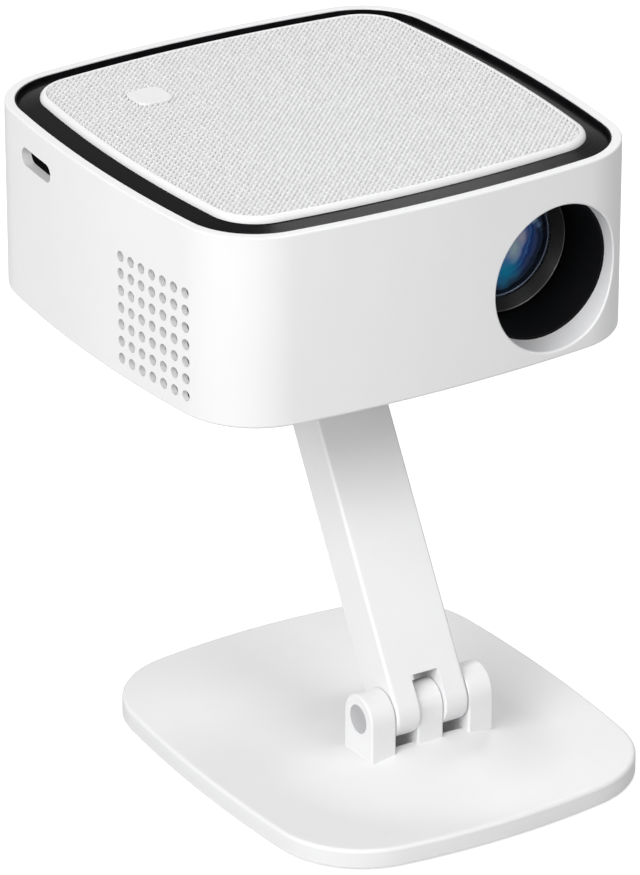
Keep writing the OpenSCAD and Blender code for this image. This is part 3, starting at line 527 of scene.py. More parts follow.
class NodeSheet(NodeTree):
    """A material's node tree, round one shader."""

    def __init__(self, name: str) -> None:
        """Start a material with a plain shader.

        Args:
            name: Name of the material.
        """
        self.material = bpy.data.materials.new(name)
        self.material.use_nodes = True
        super().__init__(self.material.node_tree)
        self.shader = self.tree.nodes["Principled BSDF"]
        self.place = self.add("ShaderNodeTexCoord").outputs["Object"]

    def put(self, socket: str, value: object) -> None:
        """Feed one of the shader's own sockets."""
        self.feed(self.shader.inputs[socket], value)

    def noise(
        self, scale: float, detail: float = 3.0, stretch: Vector | None = None
    ) -> bpy.types.NodeSocket:
        """Noise over the piece.

        Args:
            scale: Features per metre.
            detail: Octaves of finer noise.
            stretch: Scale of each axis, where the grain has a direction.

        Returns:
            The noise's value, from 0 to 1.
        """
        place = self.place
        if stretch is not None:
            mapping = self.add("ShaderNodeMapping", {"Scale": stretch, "Vector": place})
            place = mapping.outputs["Vector"]
        feeds = {"Scale": scale, "Detail": detail, "Vector": place}
        return self.add("ShaderNodeTexNoise", feeds).outputs["Fac"]

    def shares(self, centre: Vector, size: Vector) -> bpy.types.bpy_prop_collection:
        """Places on the piece, as shares of a size about a centre.

        Args:
            centre: The place that becomes the origin.
            size: The size along each axis that becomes 1.

        Returns:
            The sockets X, Y and Z.
        """
        feeds = {"Location": centre, "Scale": size, "Vector": self.place}
        mapping = self.add("ShaderNodeMapping", feeds, vector_type="TEXTURE")
        return self.add("ShaderNodeSeparateXYZ", {"Vector": mapping.outputs["Vector"]}).outputs

    def spread(self, value: bpy.types.NodeSocket, low: float, high: float) -> bpy.types.NodeSocket:
        """Stretch noise, most of which lies between 0.3 and 0.7, to a range.

        Args:
            value: The noise.
            low: What 0.3 becomes.
            high: What 0.7 becomes.

        Returns:
            The stretched value.
        """
        feeds = {"Value": value, "From Min": 0.3, "From Max": 0.7, "To Min": low, "To Max": high}
        return self.add("ShaderNodeMapRange", feeds).outputs["Result"]

    def blend(
        self, share: bpy.types.NodeSocket, first: bpy.types.NodeSocket | Colour, second: Colour
    ) -> bpy.types.NodeSocket:
        """Mix two colours.

        Args:
            share: How much of the second colour there is.
            first: The first colour, or a socket that gives it.
            second: The second colour.

        Returns:
            The mixed colour.
        """
        base = first if isinstance(first, bpy.types.NodeSocket) else (*first, 1)
        feeds = {"Factor": share, "A": base, "B": (*second, 1)}
        return self.add("ShaderNodeMix", feeds, data_type="RGBA").outputs["Result"]

    def distance(self, spot: bpy.types.NodeSocket, heart: Vector) -> bpy.types.NodeSocket:
        """Distance of a vector socket from a fixed place."""
        feeds = {0: spot, 1: heart}
        return self.add("ShaderNodeVectorMath", feeds, operation="DISTANCE").outputs["Value"]

    def ramp(
        self, value: bpy.types.NodeSocket, stops: Sequence[tuple[float, Colour]]
    ) -> bpy.types.NodeSocket:
        """Turn a value into a run of colours.

        Args:
            value: The value, from 0 to 1.
            stops: Each colour with the value where it stands.

        Returns:
            The colour.
        """
        node = self.add("ShaderNodeValToRGB", {"Fac": value})
        band = node.color_ramp
        while len(band.elements) < len(stops):
            band.elements.new(0.5)
        for element, (position, colour) in zip(band.elements, stops):
            element.position = position
            element.color = (*colour, 1)
        return node.outputs["Color"]

    def tint(self, value: bpy.types.NodeSocket, colour: Colour, share: float) -> None:
        """Paint a colour that runs to a darker or lighter one of its kind.

        Args:
            value: The noise that it follows.
            colour: The colour.
            share: The other colour, as a share of the first.
        """
        other: Colour = tuple(min(1.0, c * share) for c in colour)
        self.put("Base Color", self.blend(self.spread(value, 0.0, 1.0), colour, other))

    def wear(self, value: bpy.types.NodeSocket, low: float, high: float) -> None:
        """Let the roughness follow noise from a low to a high value."""
        self.put("Roughness", self.spread(value, low, high))

    def relief(self, height: bpy.types.NodeSocket, depth: float) -> None:
        """Give the surface a fine relief of a depth in metres."""
        bump = self.add("ShaderNodeBump", {"Distance": depth, "Height": height})
        self.put("Normal", bump.outputs["Normal"])


@dataclass(frozen=True)
class Finish:
    """A surface finish, which lays itself on a plain material."""

    name: str

    def material(self) -> bpy.types.Material:
        """Build the material.

        Returns:
            The material, named after the finish.
        """
        sheet = NodeSheet(self.name)
        self.dress(sheet)
        return sheet.material

    def dress(self, sheet: NodeSheet) -> None:
        """Lay the finish on a plain material, as each kind of finish does."""
        raise NotImplementedError


@dataclass(frozen=True)
class Plastic(Finish):
    """Moulded plastic with a fine spark-eroded grain.

    It is darker by mottle, smoother by polish and rougher by scuff in places.
    """

    colour: Colour
    roughness: float = 0.42
    grain: float = 0.012 * MM
    grain_scale: float = 2600.0
    mottle: float = 0.025
    specular: float = 0.4
    mottle_scale: float = 28.0
    mottle_detail: float = 4.0
    wear_scale: float = 90.0
    polish: float = 0.04
    scuff: float = 0.05

    def dress(self, sheet: NodeSheet) -> None:
        """Lay the finish on a plain material.

        Args:
            sheet: The material's nodes.
        """
        cloud = sheet.noise(self.mottle_scale, self.mottle_detail)
        sheet.tint(cloud, self.colour, 1 - self.mottle)
        wear = sheet.noise(self.wear_scale, 5.0)
        sheet.wear(wear, self.roughness - self.polish, self.roughness + self.scuff)
        sheet.relief(sheet.noise(self.grain_scale, 2.0), self.grain)
        sheet.put("Specular IOR Level", self.specular)


@dataclass(frozen=True)
class Weave(Plastic):
    """A white woven skin whose threads vary a little along their length."""

    roughness: float = 0.6
    grain: float = 0.024 * MM
    mottle: float = 0.16
    mottle_scale: float = 850.0
    mottle_detail: float = 1.0
    polish: float = 0.05
    scuff: float = 0.1


@dataclass(frozen=True)
class Metal(Finish):
    """Plain or plated metal with a fine directional grain.

    It is darker by tarnish, smoother by polish and rougher by scuff in places.
    """

    colour: Colour
    roughness: float
    stretch: Triple = (1.0, 1.0, 1.0)
    grain: float = 0.004 * MM
    grain_scale: float = 900.0
    tarnish: float = 0.14
    tarnish_scale: float = 120.0
    polish: float = 0.06
    scuff: float = 0.08

    def dress(self, sheet: NodeSheet) -> None:
        """Lay the finish on a plain material.

        Args:
            sheet: The material's nodes.
        """
        sheet.tint(sheet.noise(self.tarnish_scale, 4.0), self.colour, 1 - self.tarnish)
        lines = sheet.noise(self.grain_scale, stretch=Vector(self.stretch))
        sheet.wear(lines, self.roughness - self.polish, self.roughness + self.scuff)
        sheet.relief(lines, self.grain)
        sheet.put("Metallic", 1.0)


@dataclass(frozen=True)
class Glass(Finish):
    """Clear or tinted glass, plates and lenses.

    The roughness goes from its clearest to its haziest share, and cloud darkens it.
    """

    colour: Colour
    roughness: float = 0.03
    transmission: float = 1.0
    index: float = 1.5
    cloud: float = 0.04
    cloud_scale: float = 60.0
    haze_scale: float = 300.0
    clearest: float = 0.6
    haziest: float = 1.6

    def dress(self, sheet: NodeSheet) -> None:
        """Lay the finish on a plain material.

        Args:
            sheet: The material's nodes.
        """
        haze = sheet.noise(self.haze_scale)
        sheet.wear(haze, self.roughness * self.clearest, self.roughness * self.haziest)
        sheet.tint(sheet.noise(self.cloud_scale, 2.0), self.colour, 1 - self.cloud)
        sheet.put("Transmission Weight", self.transmission)
        sheet.put("IOR", self.index)


@dataclass(frozen=True)
class PaintedGlint:
    """A painted glint: a soft patch of painted reflection highlight in the lens colour, placed as
    shares of its radius.
    """

    angle: float
    away: float
    reach: float
    colour: Colour


@dataclass(frozen=True)
class CoatedGlass(Finish):
    """A lens face whose colour runs from blue to near black, with painted reflection arcs and soft
    painted glints.
    """

    centre: Vector
    radius: float
    # The stops give the coating's blue and also painted reflection arcs, bright rings near half the
    # radius; towards the rim the colour darkens to near black.
    stops: tuple[tuple[float, Colour], ...] = (
        (0.0, (0.12, 0.26, 0.75)),
        (0.42, (0.12, 0.26, 0.75)),
        (0.49, (0.2, 0.38, 0.95)),
        (0.54, (0.05, 0.13, 0.55)),
        (0.6, (0.05, 0.13, 0.5)),
        (0.64, (0.12, 0.28, 0.75)),
        (0.69, (0.03, 0.09, 0.36)),
        (0.75, (0.07, 0.13, 0.42)),
        (0.8, (0.09, 0.15, 0.34)),
        (0.86, (0.035, 0.055, 0.15)),
        (0.92, (0.055, 0.085, 0.15)),
        (1.0, (0.02, 0.03, 0.05)),
    )
    # Soft patches of painted reflection highlight, pale and teal, laid over the lens colour.
    painted_glints: tuple[PaintedGlint, ...] = (
        PaintedGlint(-78.0, 0.62, 0.42, (0.02, 0.42, 0.75)),
        PaintedGlint(-25.0, 0.3, 0.34, (0.72, 0.93, 1.0)),
        PaintedGlint(0.0, 0.44, 0.2, (0.82, 0.78, 1.0)),
        PaintedGlint(24.0, 0.78, 0.14, (0.45, 0.75, 1.0)),
        PaintedGlint(8.0, 0.86, 0.12, (0.3, 0.5, 0.9)),
    )
    waver: float = 0.04
    waver_scale: float = 260.0
    painted_glint_waver: float = 1.5
    gloss: tuple[float, float] = (0.05, 0.09)
    gloss_scale: float = 220.0
    coat: float = 0.25
    coat_roughness: float = 0.02
    specular: float = 0.2

    def dress(self, sheet: NodeSheet) -> None:
        """Lay the finish on a plain material.

        Args:
            sheet: The material's nodes.
        """
        split = sheet.shares(self.centre, Vector((1, 1, 1)) * self.radius)
        flat = sheet.add("ShaderNodeCombineXYZ", {"X": split["X"], "Z": split["Z"]})
        spot = flat.outputs["Vector"]
        waver = sheet.spread(sheet.noise(self.waver_scale), -self.waver, self.waver)
        share = sheet.sums("ADD", sheet.distance(spot, Vector()), waver)
        colour = sheet.ramp(share, self.stops)
        # Each glint paints a soft highlight into the base colour where a reflection would stand.
        for glint in self.painted_glints:
            turn = math.radians(glint.angle)
            heart = Vector((math.cos(turn), 0, math.sin(turn))) * glint.away
            ripple = sheet.sums("MULTIPLY", waver, self.painted_glint_waver)
            away = sheet.sums("ADD", sheet.distance(spot, heart), ripple)
            feeds = {"Value": away, "From Min": glint.reach, "From Max": 0.0}
            fade = sheet.add("ShaderNodeMapRange", feeds, interpolation_type="SMOOTHSTEP")
            colour = sheet.blend(fade.outputs["Result"], colour, glint.colour)
        sheet.put("Base Color", colour)
        sheet.wear(sheet.noise(self.gloss_scale), *self.gloss)
        sheet.put("Coat Weight", self.coat)
        sheet.put("Coat Roughness", self.coat_roughness)
        sheet.put("Specular IOR Level", self.specular)


@dataclass(frozen=True)
class GlossBand(Finish):
    """Polished black trim with faint drawn lines that run along it."""

    centre: Vector
    half_width: float
    half_depth: float
    colour: Colour = (0.004, 0.004, 0.0045)
    power: float = 8.0
    specular: float = 0.02
    line_scale: float = 190.0
    line_light: float = 2.4
    line_depth: float = 0.01 * MM
    gloss: tuple[float, float] = (0.14, 0.24)

    def dress(self, sheet: NodeSheet) -> None:
        """Lay the finish on a plain material.

        Args:
            sheet: The material's nodes.
        """
        split = sheet.shares(self.centre, Vector((self.half_width, self.half_depth, 1.0)))
        across, back = (
            sheet.sums("POWER", sheet.sums("ABSOLUTE", split[axis]), self.power) for axis in "XY"
        )
        norm = sheet.sums("POWER", sheet.sums("ADD", across, back), 1 / self.power)
        feeds = {"Scale": self.line_scale, "Detail": 3.0, "W": norm}
        lines = sheet.add("ShaderNodeTexNoise", feeds, noise_dimensions="1D").outputs["Fac"]
        sheet.tint(lines, self.colour, self.line_light)
        sheet.wear(lines, *self.gloss)
        sheet.relief(lines, self.line_depth)
        sheet.put("Specular IOR Level", self.specular)


@dataclass(frozen=True)
class CircuitBoard(Finish):
    """Green board with fine copper runs under the mask."""

    colour: Colour = (0.015, 0.13, 0.055)
    copper: Colour = (0.033, 0.286, 0.121)
    run_scale: float = 420.0
    run_depth: float = 0.03 * MM
    gloss: tuple[float, float] = (0.3, 0.45)
    gloss_scale: float = 200.0

    def dress(self, sheet: NodeSheet) -> None:
        """Lay the finish on a plain material.

        Args:
            sheet: The material's nodes.
        """
        feeds = {"Scale": self.run_scale, "Vector": sheet.place}
        cells = sheet.add("ShaderNodeTexVoronoi", feeds, distance="MANHATTAN", feature="F1")
        runs = cells.outputs["Distance"]
        sheet.put("Base Color", sheet.blend(runs, self.colour, self.copper))
        sheet.wear(sheet.noise(self.gloss_scale), *self.gloss)
        sheet.relief(runs, self.run_depth)


# ---- sub-assemblies ----


@dataclass
class Piece:
    """A finished piece and how it joins the frame."""

    obj: bpy.types.Object
    body: Body
    slot: str
    nodes: tuple[str, ...]

    def join_frame(self, finishes: dict[str, bpy.types.Material]) -> None:
        """Give the piece its finish and let it ride on its body.

        Args:
            finishes: A material for each slot of the record.
        """
        self.obj.data.materials.clear()
        self.obj.data.materials.append(finishes[self.slot])
        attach(self.obj, self.body.value)
        if self.nodes:
            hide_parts(*self.nodes)
        log.info("%s rides on %s and stands for %s", self.obj.name, self.body.value, self.nodes)


@dataclass
class HeadCase:
    """The head's white case with its vents, strap slot, lens collar and socket window."""

    wall: float = 2.9 * MM
    bow: float = 6.1 * MM
    corner: float = 24 * MM
    rim_round: float = 0.5 * MM
    foot_round: float = 0.9 * MM
    vent_radius: float = 1.55 * MM
    vent_pitch: float = 5.0 * MM
    vent_count: int = 7
    vent_steps: int = 24
    vent_skin: float = 1.6 * MM
    cut_depth: float = 12 * MM
    slot_length: float = 18.2 * MM
    slot_height: float = 5.3 * MM
    opening_radius: float = 21.2 * MM
    opening_steps: int = 128
    mouth_round: float = 0.7 * MM
    mouth_lead: float = 0.3 * MM
    mouth_tilt: float = 75.0
    mouth_steps: int = 5
    collar_wall: float = 1.4 * MM
    collar_depth: float = 11 * MM
    port_frame: float = 1.2 * MM
    port_corner: float = 0.6 * MM
    edge: float = 0.22 * MM
    low: Vector = field(default_factory=lambda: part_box("head_shell")[0])
    high: Vector = field(default_factory=lambda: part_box("head_shell")[1])

    def outline(self) -> BowedOutline:
        """The case's outline from above."""
        size, centre = self.high - self.low, (self.low + self.high) / 2
        return BowedOutline(centre, size.x, size.y, self.bow, self.bow, self.corner)

    def vents(self, corner: Vector, across: Vector, inward: Vector) -> bpy.types.Object:
        """A square field of vent cutters.

        Args:
            corner: Middle of the field, outside the wall.
            across: Direction along the wall.
            inward: Direction through the wall.

        Returns:
            The cutters as one object.
        """
        half = self.vent_pitch * (self.vent_count - 1) / 2
        start = corner - across * half - Z * half
        rim = circle(start, self.vent_radius, inward, self.vent_steps)
        hole = prism("vents", rim, inward * self.cut_depth)
        row(hole, self.vent_count, across * self.vent_pitch)
        row(hole, self.vent_count, Z * self.vent_pitch)
        return hole

    def vent_pocket(self, corner: Vector, across: Vector, inward: Vector) -> bpy.types.Object:
        """A cutter that thins the wall behind a field of vents to a skin.

        Args:
            corner: Middle of the field, outside the wall.
            across: Direction along the wall.
            inward: Direction through the wall.

        Returns:
            The cutter.
        """
        side = self.vent_pitch * self.vent_count
        mouth = rounded(corner, across, Z, side, side, self.vent_radius)
        pocket = prism("pocket", mouth, inward * self.cut_depth)
        inside = self.outline().ring(self.vent_skin, self.low.z)
        combine(pocket, prism("room", inside, Z * (self.high.z - self.low.z)), Join.KEEP)
        return pocket

    def lens_axis(self) -> Vector:
        """A point on the lens axis, level with the foremost point of the case."""
        lens = middle("barrel_rim")
        return Vector((lens.x, self.low.y, lens.z))

    def bore(self, axis: Vector) -> bpy.types.Object:
        """A cutter for the lens opening, whose round mouth follows the bowed front.

        Args:
            axis: A point on the lens axis.

        Returns:
            The cutter.
        """
        outline, r, e = self.outline(), self.opening_radius, self.mouth_round
        tilt, count = math.radians(self.mouth_tilt), self.opening_steps
        spread = r + e * (1 - math.cos(tilt)) + self.mouth_lead * math.tan(tilt)
        path = [(spread, e * (1 - math.sin(tilt)) - self.mouth_lead)]
        for step in range(self.mouth_steps + 1):
            angle = tilt * (1 - step / self.mouth_steps)
            path.append((r + e * (1 - math.cos(angle)), e * (1 - math.sin(angle))))
        rings = [circle(axis - Y * self.cut_depth, spread, Y, count)]
        for radius, depth in path:
            ring = circle(axis, radius, Y, count)
            rings.append([Vector((p.x, outline.front(p.x) + depth, p.z)) for p in ring])
        rings.append(circle(axis + Y * (self.collar_depth + self.wall), r, Y, count))
        return loft("bore", rings)

    def build(self) -> list[Piece]:
        """Model the case.

        Returns:
            The case as one piece.
        """
        outline = self.outline()
        r, f, w = self.rim_round, self.foot_round, self.wall
        z0, z1 = self.low.z, self.high.z
        section = fillet(f, z0 + f, f, 270, 180)
        section += fillet(r, z1 - r, r, 180, 90)
        section += fillet(w - r / 2, z1 - r / 2, r / 2, 90, 0)
        section += [(w, z0 + r / 2), (w - r / 2, z0)]
        case = outline.hoop("head_case", section)
        axis = self.lens_axis()
        outer = self.opening_radius + self.collar_wall
        ring = circle(axis - Y * self.cut_depth, outer, Y, self.opening_steps)
        collar = prism("collar", ring, Y * (self.cut_depth + self.collar_depth))
        combine(collar, prism("room", outline.ring(w / 2, z0), Z * (z1 - z0)), Join.KEEP)
        combine(case, collar, Join.WELD)
        combine(case, self.bore(axis), Join.CUT)
        side, rear = middle("side_fan_frame"), middle("rear_fan_frame")
        left = Vector((self.low.x - MM, side.y, side.z))
        back = Vector((rear.x, self.high.y + MM, rear.z))
        for spot, across, inward in ((left, Y, X), (back, X, -Y)):
            combine(case, self.vent_pocket(spot, across, inward), Join.CUT)
            combine(case, self.vents(spot, across, inward), Join.CUT)
        pocket = middle("strap_pocket")
        spot, end = Vector((self.low.x - MM, pocket.y, pocket.z)), self.slot_height / 2 - HAIR
        mouth = rounded(spot, Y, Z, self.slot_length, self.slot_height, end)
        combine(case, prism("slot", mouth, X * self.cut_depth), Join.CUT)
        ports_low, ports_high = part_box("port_plate")
        window = ports_high - ports_low - Vector((2, 0, 2)) * self.port_frame
        ports = middle("port_plate")
        spot = Vector((ports.x, self.high.y + MM, ports.z))
        sill = rounded(spot, X, Z, window.x, window.z, self.port_corner)
        combine(case, prism("window", sill, -Y * self.cut_depth), Join.CUT)
        bevel(case, self.edge, 2, EDGE_ANGLE)
        smooth(case)
        return [Piece(case, Body.HEAD, "white_plastic", ("head_shell",))]


@dataclass
class TopTrim:
    """The black band, the lipped panel, its woven mesh and the power button.

    All sizes are in metres but these: lip_wall is a share of the lip's radius,
    rib_shoulder and tie_height are shares of a rib's height, rib_crown and tie_grip
    of its width, and rib_reach of the case's size.
    """

    case: HeadCase
    band_width: float = 6.95 * MM
    band_fall: float = 1.6 * MM
    band_depth: float = 2.4 * MM
    band_lip: float = 0.4 * MM
    band_step: float = 0.35 * MM
    band_dip: float = 0.2 * MM
    gap: float = 0.1 * MM
    lip: float = 1.9 * MM
    lip_round: float = 1.65 * MM
    lip_wall: float = 1.1
    lip_crease: float = 0.2 * MM
    mesh_depth: float = 0.8 * MM
    mesh_room: float = 0.02 * MM
    rib_room: float = 0.05 * MM
    rib_rise: float = 0.06 * MM
    rib_sink: float = 0.02 * MM
    rib_pitch: float = 1.26 * MM
    rib_width: float = 0.78 * MM
    rib_height: float = 0.7 * MM
    rib_shoulder: float = 0.7
    rib_crown: float = 0.4
    rib_reach: float = 0.6
    tie_pitch: float = 2.6 * MM
    tie_length: float = 0.7 * MM
    tie_grip: float = 0.8
    tie_height: float = 0.55
    button_room: float = 0.16 * MM
    button_corner: float = 3 * MM
    button_round: float = 0.3 * MM
    button_depth: float = 1.8 * MM
    stem_radius: float = 2 * MM
    stem_edge: float = 0.3 * MM
    stem_steps: int = 32

    def band(self, outline: BowedOutline) -> bpy.types.Object:
        """The gloss band, which falls outwards to the rim.

        Args:
            outline: The case's outline.

        Returns:
            The band.
        """
        top = self.case.high.z
        foot = top - self.band_depth - self.band_fall
        outer = self.case.wall + self.gap / 2
        inner = self.case.wall + self.band_width - self.gap / 2
        lip = outer + self.band_lip
        band = outline.hoop("gloss_band", [
            (outer, foot), (outer, top - self.band_step), (lip, top - self.band_step),
            (lip, top - self.band_fall), (inner, top - self.band_dip), (inner, foot),
        ])
        smooth(band)
        return band

    def button_ring(self, grow: float, height: float) -> Ring:
        """The button's outline at a height.

        Args:
            grow: Margin by which it is larger than the button.
            height: Its height.

        Returns:
            The outline's points in order.
        """
        low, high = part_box("power_button")
        side, spot = high.x - low.x + 2 * grow, middle("power_button")
        centre = Vector((spot.x, spot.y, height))
        return rounded(centre, X, Y, side, side, self.button_corner + grow)

    def button_hole(self) -> bpy.types.Object:
        """A cutter for the room that the button moves in.

        Returns:
            The cutter, which reaches past both faces of the panel.
        """
        low, high = (corner.z + way * MM for corner, way in zip(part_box("top_panel"), (-1, 1)))
        return prism("hole", self.button_ring(self.button_room, low), Z * (high - low))

    def panel(self, outline: BowedOutline, top: float) -> bpy.types.Object:
        """The panel with its round smooth lip.

        Args:
            outline: The case's outline.
            top: Height of the lip.

        Returns:
            The panel.
        """
        edge = self.case.wall + self.band_width + self.gap / 2
        inner, r, s = edge + self.lip, self.lip_round, self.lip_crease
        section = [(edge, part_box("top_panel")[0].z), (edge, top - self.lip_wall * r)]
        section += fillet(edge + r, top - r, r, 180, 90)
        section += fillet(inner - s, top - s, s, 90, 0)
        section += [(inner, top - self.mesh_depth)]
        panel = loft("lipped_panel", [outline.ring(inset, height) for inset, height in section])
        combine(panel, self.button_hole(), Join.CUT)
        smooth(panel)
        return panel

    def ribs(self, centre: Vector, reach: float) -> bpy.types.Object:
        """A field of fine ribs that run from the front left to the rear right.

        Args:
            centre: Middle of the field, at the ribs' foot.
            reach: How far it reaches each way.

        Returns:
            The ribs as one object.
        """
        along, across = (X + Y).normalized(), (X - Y).normalized()
        half, h = self.rib_width / 2, self.rib_height
        rise = [(half * self.rib_crown, h), (half, h * self.rib_shoulder), (half, 0.0)]
        shape = [(-x, z) for x, z in reversed(rise)] + rise
        count = 2 * int(reach / self.rib_pitch)
        start = centre - along * reach - across * (self.rib_pitch * count / 2)
        rib = prism("ribs", [start + across * x + Z * z for x, z in shape], along * 2 * reach)
        row(rib, count, across * self.rib_pitch)
        return rib

    def ties(
        self, centre: Vector, reach: float, outline: BowedOutline, inset: float
    ) -> bpy.types.Object:
        """Short staggered ties that cross the gaps between the ribs.

        Args:
            centre: Middle of the field, at the ribs' foot.
            reach: How far it reaches each way.
            outline: The case's outline.
            inset: How far inside the outline the ties stay.

        Returns:
            The ties as one object.
        """
        along, across = (X + Y).normalized(), (X - Y).normalized()
        span = self.rib_pitch - self.rib_width * self.tie_grip
        depth = self.rib_height * self.tie_height
        rows = int(reach / self.rib_pitch)
        count = int(2 * reach / self.tie_pitch)
        fields = []
        for stagger in (0, 1):
            start = centre - along * (reach - stagger * self.tie_pitch / 2)
            start += across * self.rib_pitch * (0.5 + stagger - rows)
            foot = rectangle(start, along, across, self.tie_length, span)
            tie = prism("ties", foot, Z * depth)
            row(tie, count, along * self.tie_pitch)
            row(tie, rows, across * 2 * self.rib_pitch)
            fields.append(tie)
        ties = gather(*fields)
        self.trim_ties(ties, outline, inset)
        return ties

    def trim_ties(self, ties: bpy.types.Object, outline: BowedOutline, inset: float) -> None:
        """Delete the ties that lie outside the panel or over the button.

        Args:
            ties: The ties, each a box of its own.
            outline: The case's outline.
            inset: How far inside the outline the ties stay.
        """
        corners, vertices = 2 * len(CORNERS), ties.data.vertices
        low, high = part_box("power_button")
        spot, reach = middle("power_button"), (high.x - low.x) / 2 + self.button_room
        doomed: set[int] = set()
        for first in range(0, len(vertices), corners):
            place = sum((vertices[first + i].co for i in range(corners)), Vector()) / corners
            over = abs(place.x - spot.x) < reach and abs(place.y - spot.y) < reach
            if over or not outline.holds(place.x, place.y, inset):
                doomed.update(range(first, first + corners))
        pick(ties)
        bpy.ops.object.mode_set(mode="EDIT")
        bpy.ops.mesh.select_mode(type="VERT")
        bpy.ops.mesh.select_all(action="DESELECT")
        bpy.ops.object.mode_set(mode="OBJECT")
        for vertex in vertices:
            vertex.select = vertex.index in doomed
        bpy.ops.object.mode_set(mode="EDIT")
        bpy.ops.mesh.delete(type="VERT")
        bpy.ops.object.mode_set(mode="OBJECT")

    def mesh(self, outline: BowedOutline, top: float) -> bpy.types.Object:
        """The mesh skin: a sheet with ribs and ties on it.

        Args:
            outline: The case's outline.
            top: Height of the panel's lip.

        Returns:
            The skin as one object.
        """
        inset = self.case.wall + self.band_width + self.gap + self.lip
        floor = top - self.mesh_depth
        skin = top - self.rib_height - self.rib_rise
        sheet = prism("woven_mesh", outline.ring(inset + self.mesh_room, floor), Z * (skin - floor))
        combine(sheet, self.button_hole(), Join.CUT)
        centre = Vector((outline.centre.x, outline.centre.y, skin - self.rib_sink))
        reach = (outline.width + outline.depth) / 2 * self.rib_reach
        ribs = self.ribs(centre, reach)
        room = prism("room", outline.ring(inset + self.rib_room, floor), Z * 2 * MM)
        combine(ribs, room, Join.KEEP)
        combine(ribs, self.button_hole(), Join.CUT)
        ties = self.ties(centre, reach, outline, inset + self.tie_length)
        return gather(sheet, ribs, ties)

    def button(self) -> bpy.types.Object:
        """The square power button with round edges and its stem.

        Returns:
            The button.
        """
        low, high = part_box("power_button")
        r = self.button_round
        rings = [self.button_ring(0.0, high.z - depth) for depth in (self.button_depth, r)]
        for inset, height in fillet(r, high.z - r, r, 180, 90)[1:]:
            rings.append(self.button_ring(-inset, height))
        cap = loft("power_key", rings)
        foot, radius, e = middle("power_button"), self.stem_radius, self.stem_edge
        foot.z = low.z
        profile = [(radius - e, 0.0), (radius, e), (radius, high.z - low.z - MM)]
        stem = turned("stem", foot, Z, profile, closed=False, count=self.stem_steps)
        combine(cap, stem, Join.WELD)
        smooth(cap)
        return cap

    def build(self) -> list[Piece]:
        """Model the trim on top of the head.

        Returns:
            The band, the panel, the mesh and the button.
        """
        outline = self.case.outline()
        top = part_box("top_panel")[1].z
        return [
            Piece(self.band(outline), Body.HEAD, "black_gloss", ("black_band",)),
            Piece(self.panel(outline, top), Body.HEAD, "white_plastic", ("top_panel",)),
            Piece(self.mesh(outline, top), Body.HEAD, "white_mesh", ("top_mesh",)),
            Piece(self.button(), Body.BUTTON, "button_white", ("power_button",)),
        ]


@dataclass
class LensUnit:
    """The sliding barrel with its trim rings and coated front glass."""

    trim: float = 0.4 * MM
    rim_depth: float = 1.2 * MM
    flange_depth: float = 3 * MM
    barrel_inset: float = 0.8 * MM
    barrel_wall: float = 2.2 * MM
    bezel_depth: float = 2.6 * MM
    ring_width: float = 1.2 * MM
    ring_depth: float = 1.8 * MM
    glass_edge: float = 2.4 * MM
    glass_bevel: float = 0.1 * MM
    glass_bulge: float = 2 * MM
    glass_steps: int = 16
    coated_radius: float = 15.4 * MM
    throat: float = 2 * MM
    fit: float = 0.05 * MM
    edge: float = 0.12 * MM

    def build(self) -> list[Piece]:
        """Model the front of the lens.

        Returns:
            The barrel, its two trim rings and the front glass.
        """
        low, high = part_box("barrel_rim")
        radius, start = (high.x - low.x) / 2, middle("barrel_rim")
        start.y = low.y
        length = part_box("lens_barrel")[1].y - low.y
        e, t = self.edge, self.trim
        rim = turned("barrel_rim_ring", start, Y, [
            (radius, self.rim_depth), (radius, e), (radius - e, 0.0), (radius - t + e, 0.0),
            (radius - t, e), (radius - t, self.rim_depth),
        ])
        outer, flange = radius - self.barrel_inset, radius - t - self.fit
        seat, lip = outer - self.barrel_wall, radius - 2 * t
        inner = seat - self.ring_width
        glass = inner + t
        back = self.bezel_depth + self.glass_bulge + self.glass_edge
        ring_end = self.bezel_depth + self.ring_depth
        barrel = turned("lens_tube", start, Y, [
            (outer, length), (outer, self.flange_depth), (flange, self.flange_depth),
            (flange, e), (flange - e, 0.0), (lip, 0.0), (lip - e, e),
            (seat + e, self.bezel_depth - e), (seat, self.bezel_depth), (seat, ring_end),
            (glass, ring_end), (glass, back), (glass - self.throat, back),
            (glass - self.throat, length),
        ])
        ring = turned("inner_trim_ring", start + Y * self.bezel_depth, Y, [
            (seat, self.ring_depth), (seat, e), (seat - e, 0.0), (inner + 3 * e, 0.0),
            (inner + e, e), (inner, 3 * e), (inner, self.ring_depth),
        ])
        for piece in (rim, barrel, ring):
            smooth(piece)
        return [
            Piece(rim, Body.LENS, "bright_trim", ("barrel_rim",)),
            Piece(barrel, Body.LENS, "satin_black", ("lens_barrel",)),
            Piece(ring, Body.LENS, "smoked_trim", ("inner_rim",)),
            Piece(self.glass(start, glass, back), Body.LENS, "coated_glass", ("front_glass",)),
        ]

    def glass(self, start: Vector, seat: float, back: float) -> bpy.types.Object:
        """The domed front glass.

        Args:
            start: Middle of the barrel's front.
            seat: Radius of the glass's seat.
            back: Depth of the glass's flat back behind the front.

        Returns:
            The glass.
        """
        r, bulge = seat - self.fit, self.glass_bulge
        big = (r * r + bulge**2) / (2 * bulge)
        front = back - self.glass_edge
        profile = [(r, back), (r, front + self.glass_bevel)]
        for i in range(1, self.glass_steps + 1):
            away = r * (1 - i / (self.glass_steps + 0.5))
            profile.append((away, front - (math.sqrt(big * big - away * away) - (big - bulge))))
        glass = turned("front_lens", start, Y, profile, closed=False)
        smooth(glass)
        return glass


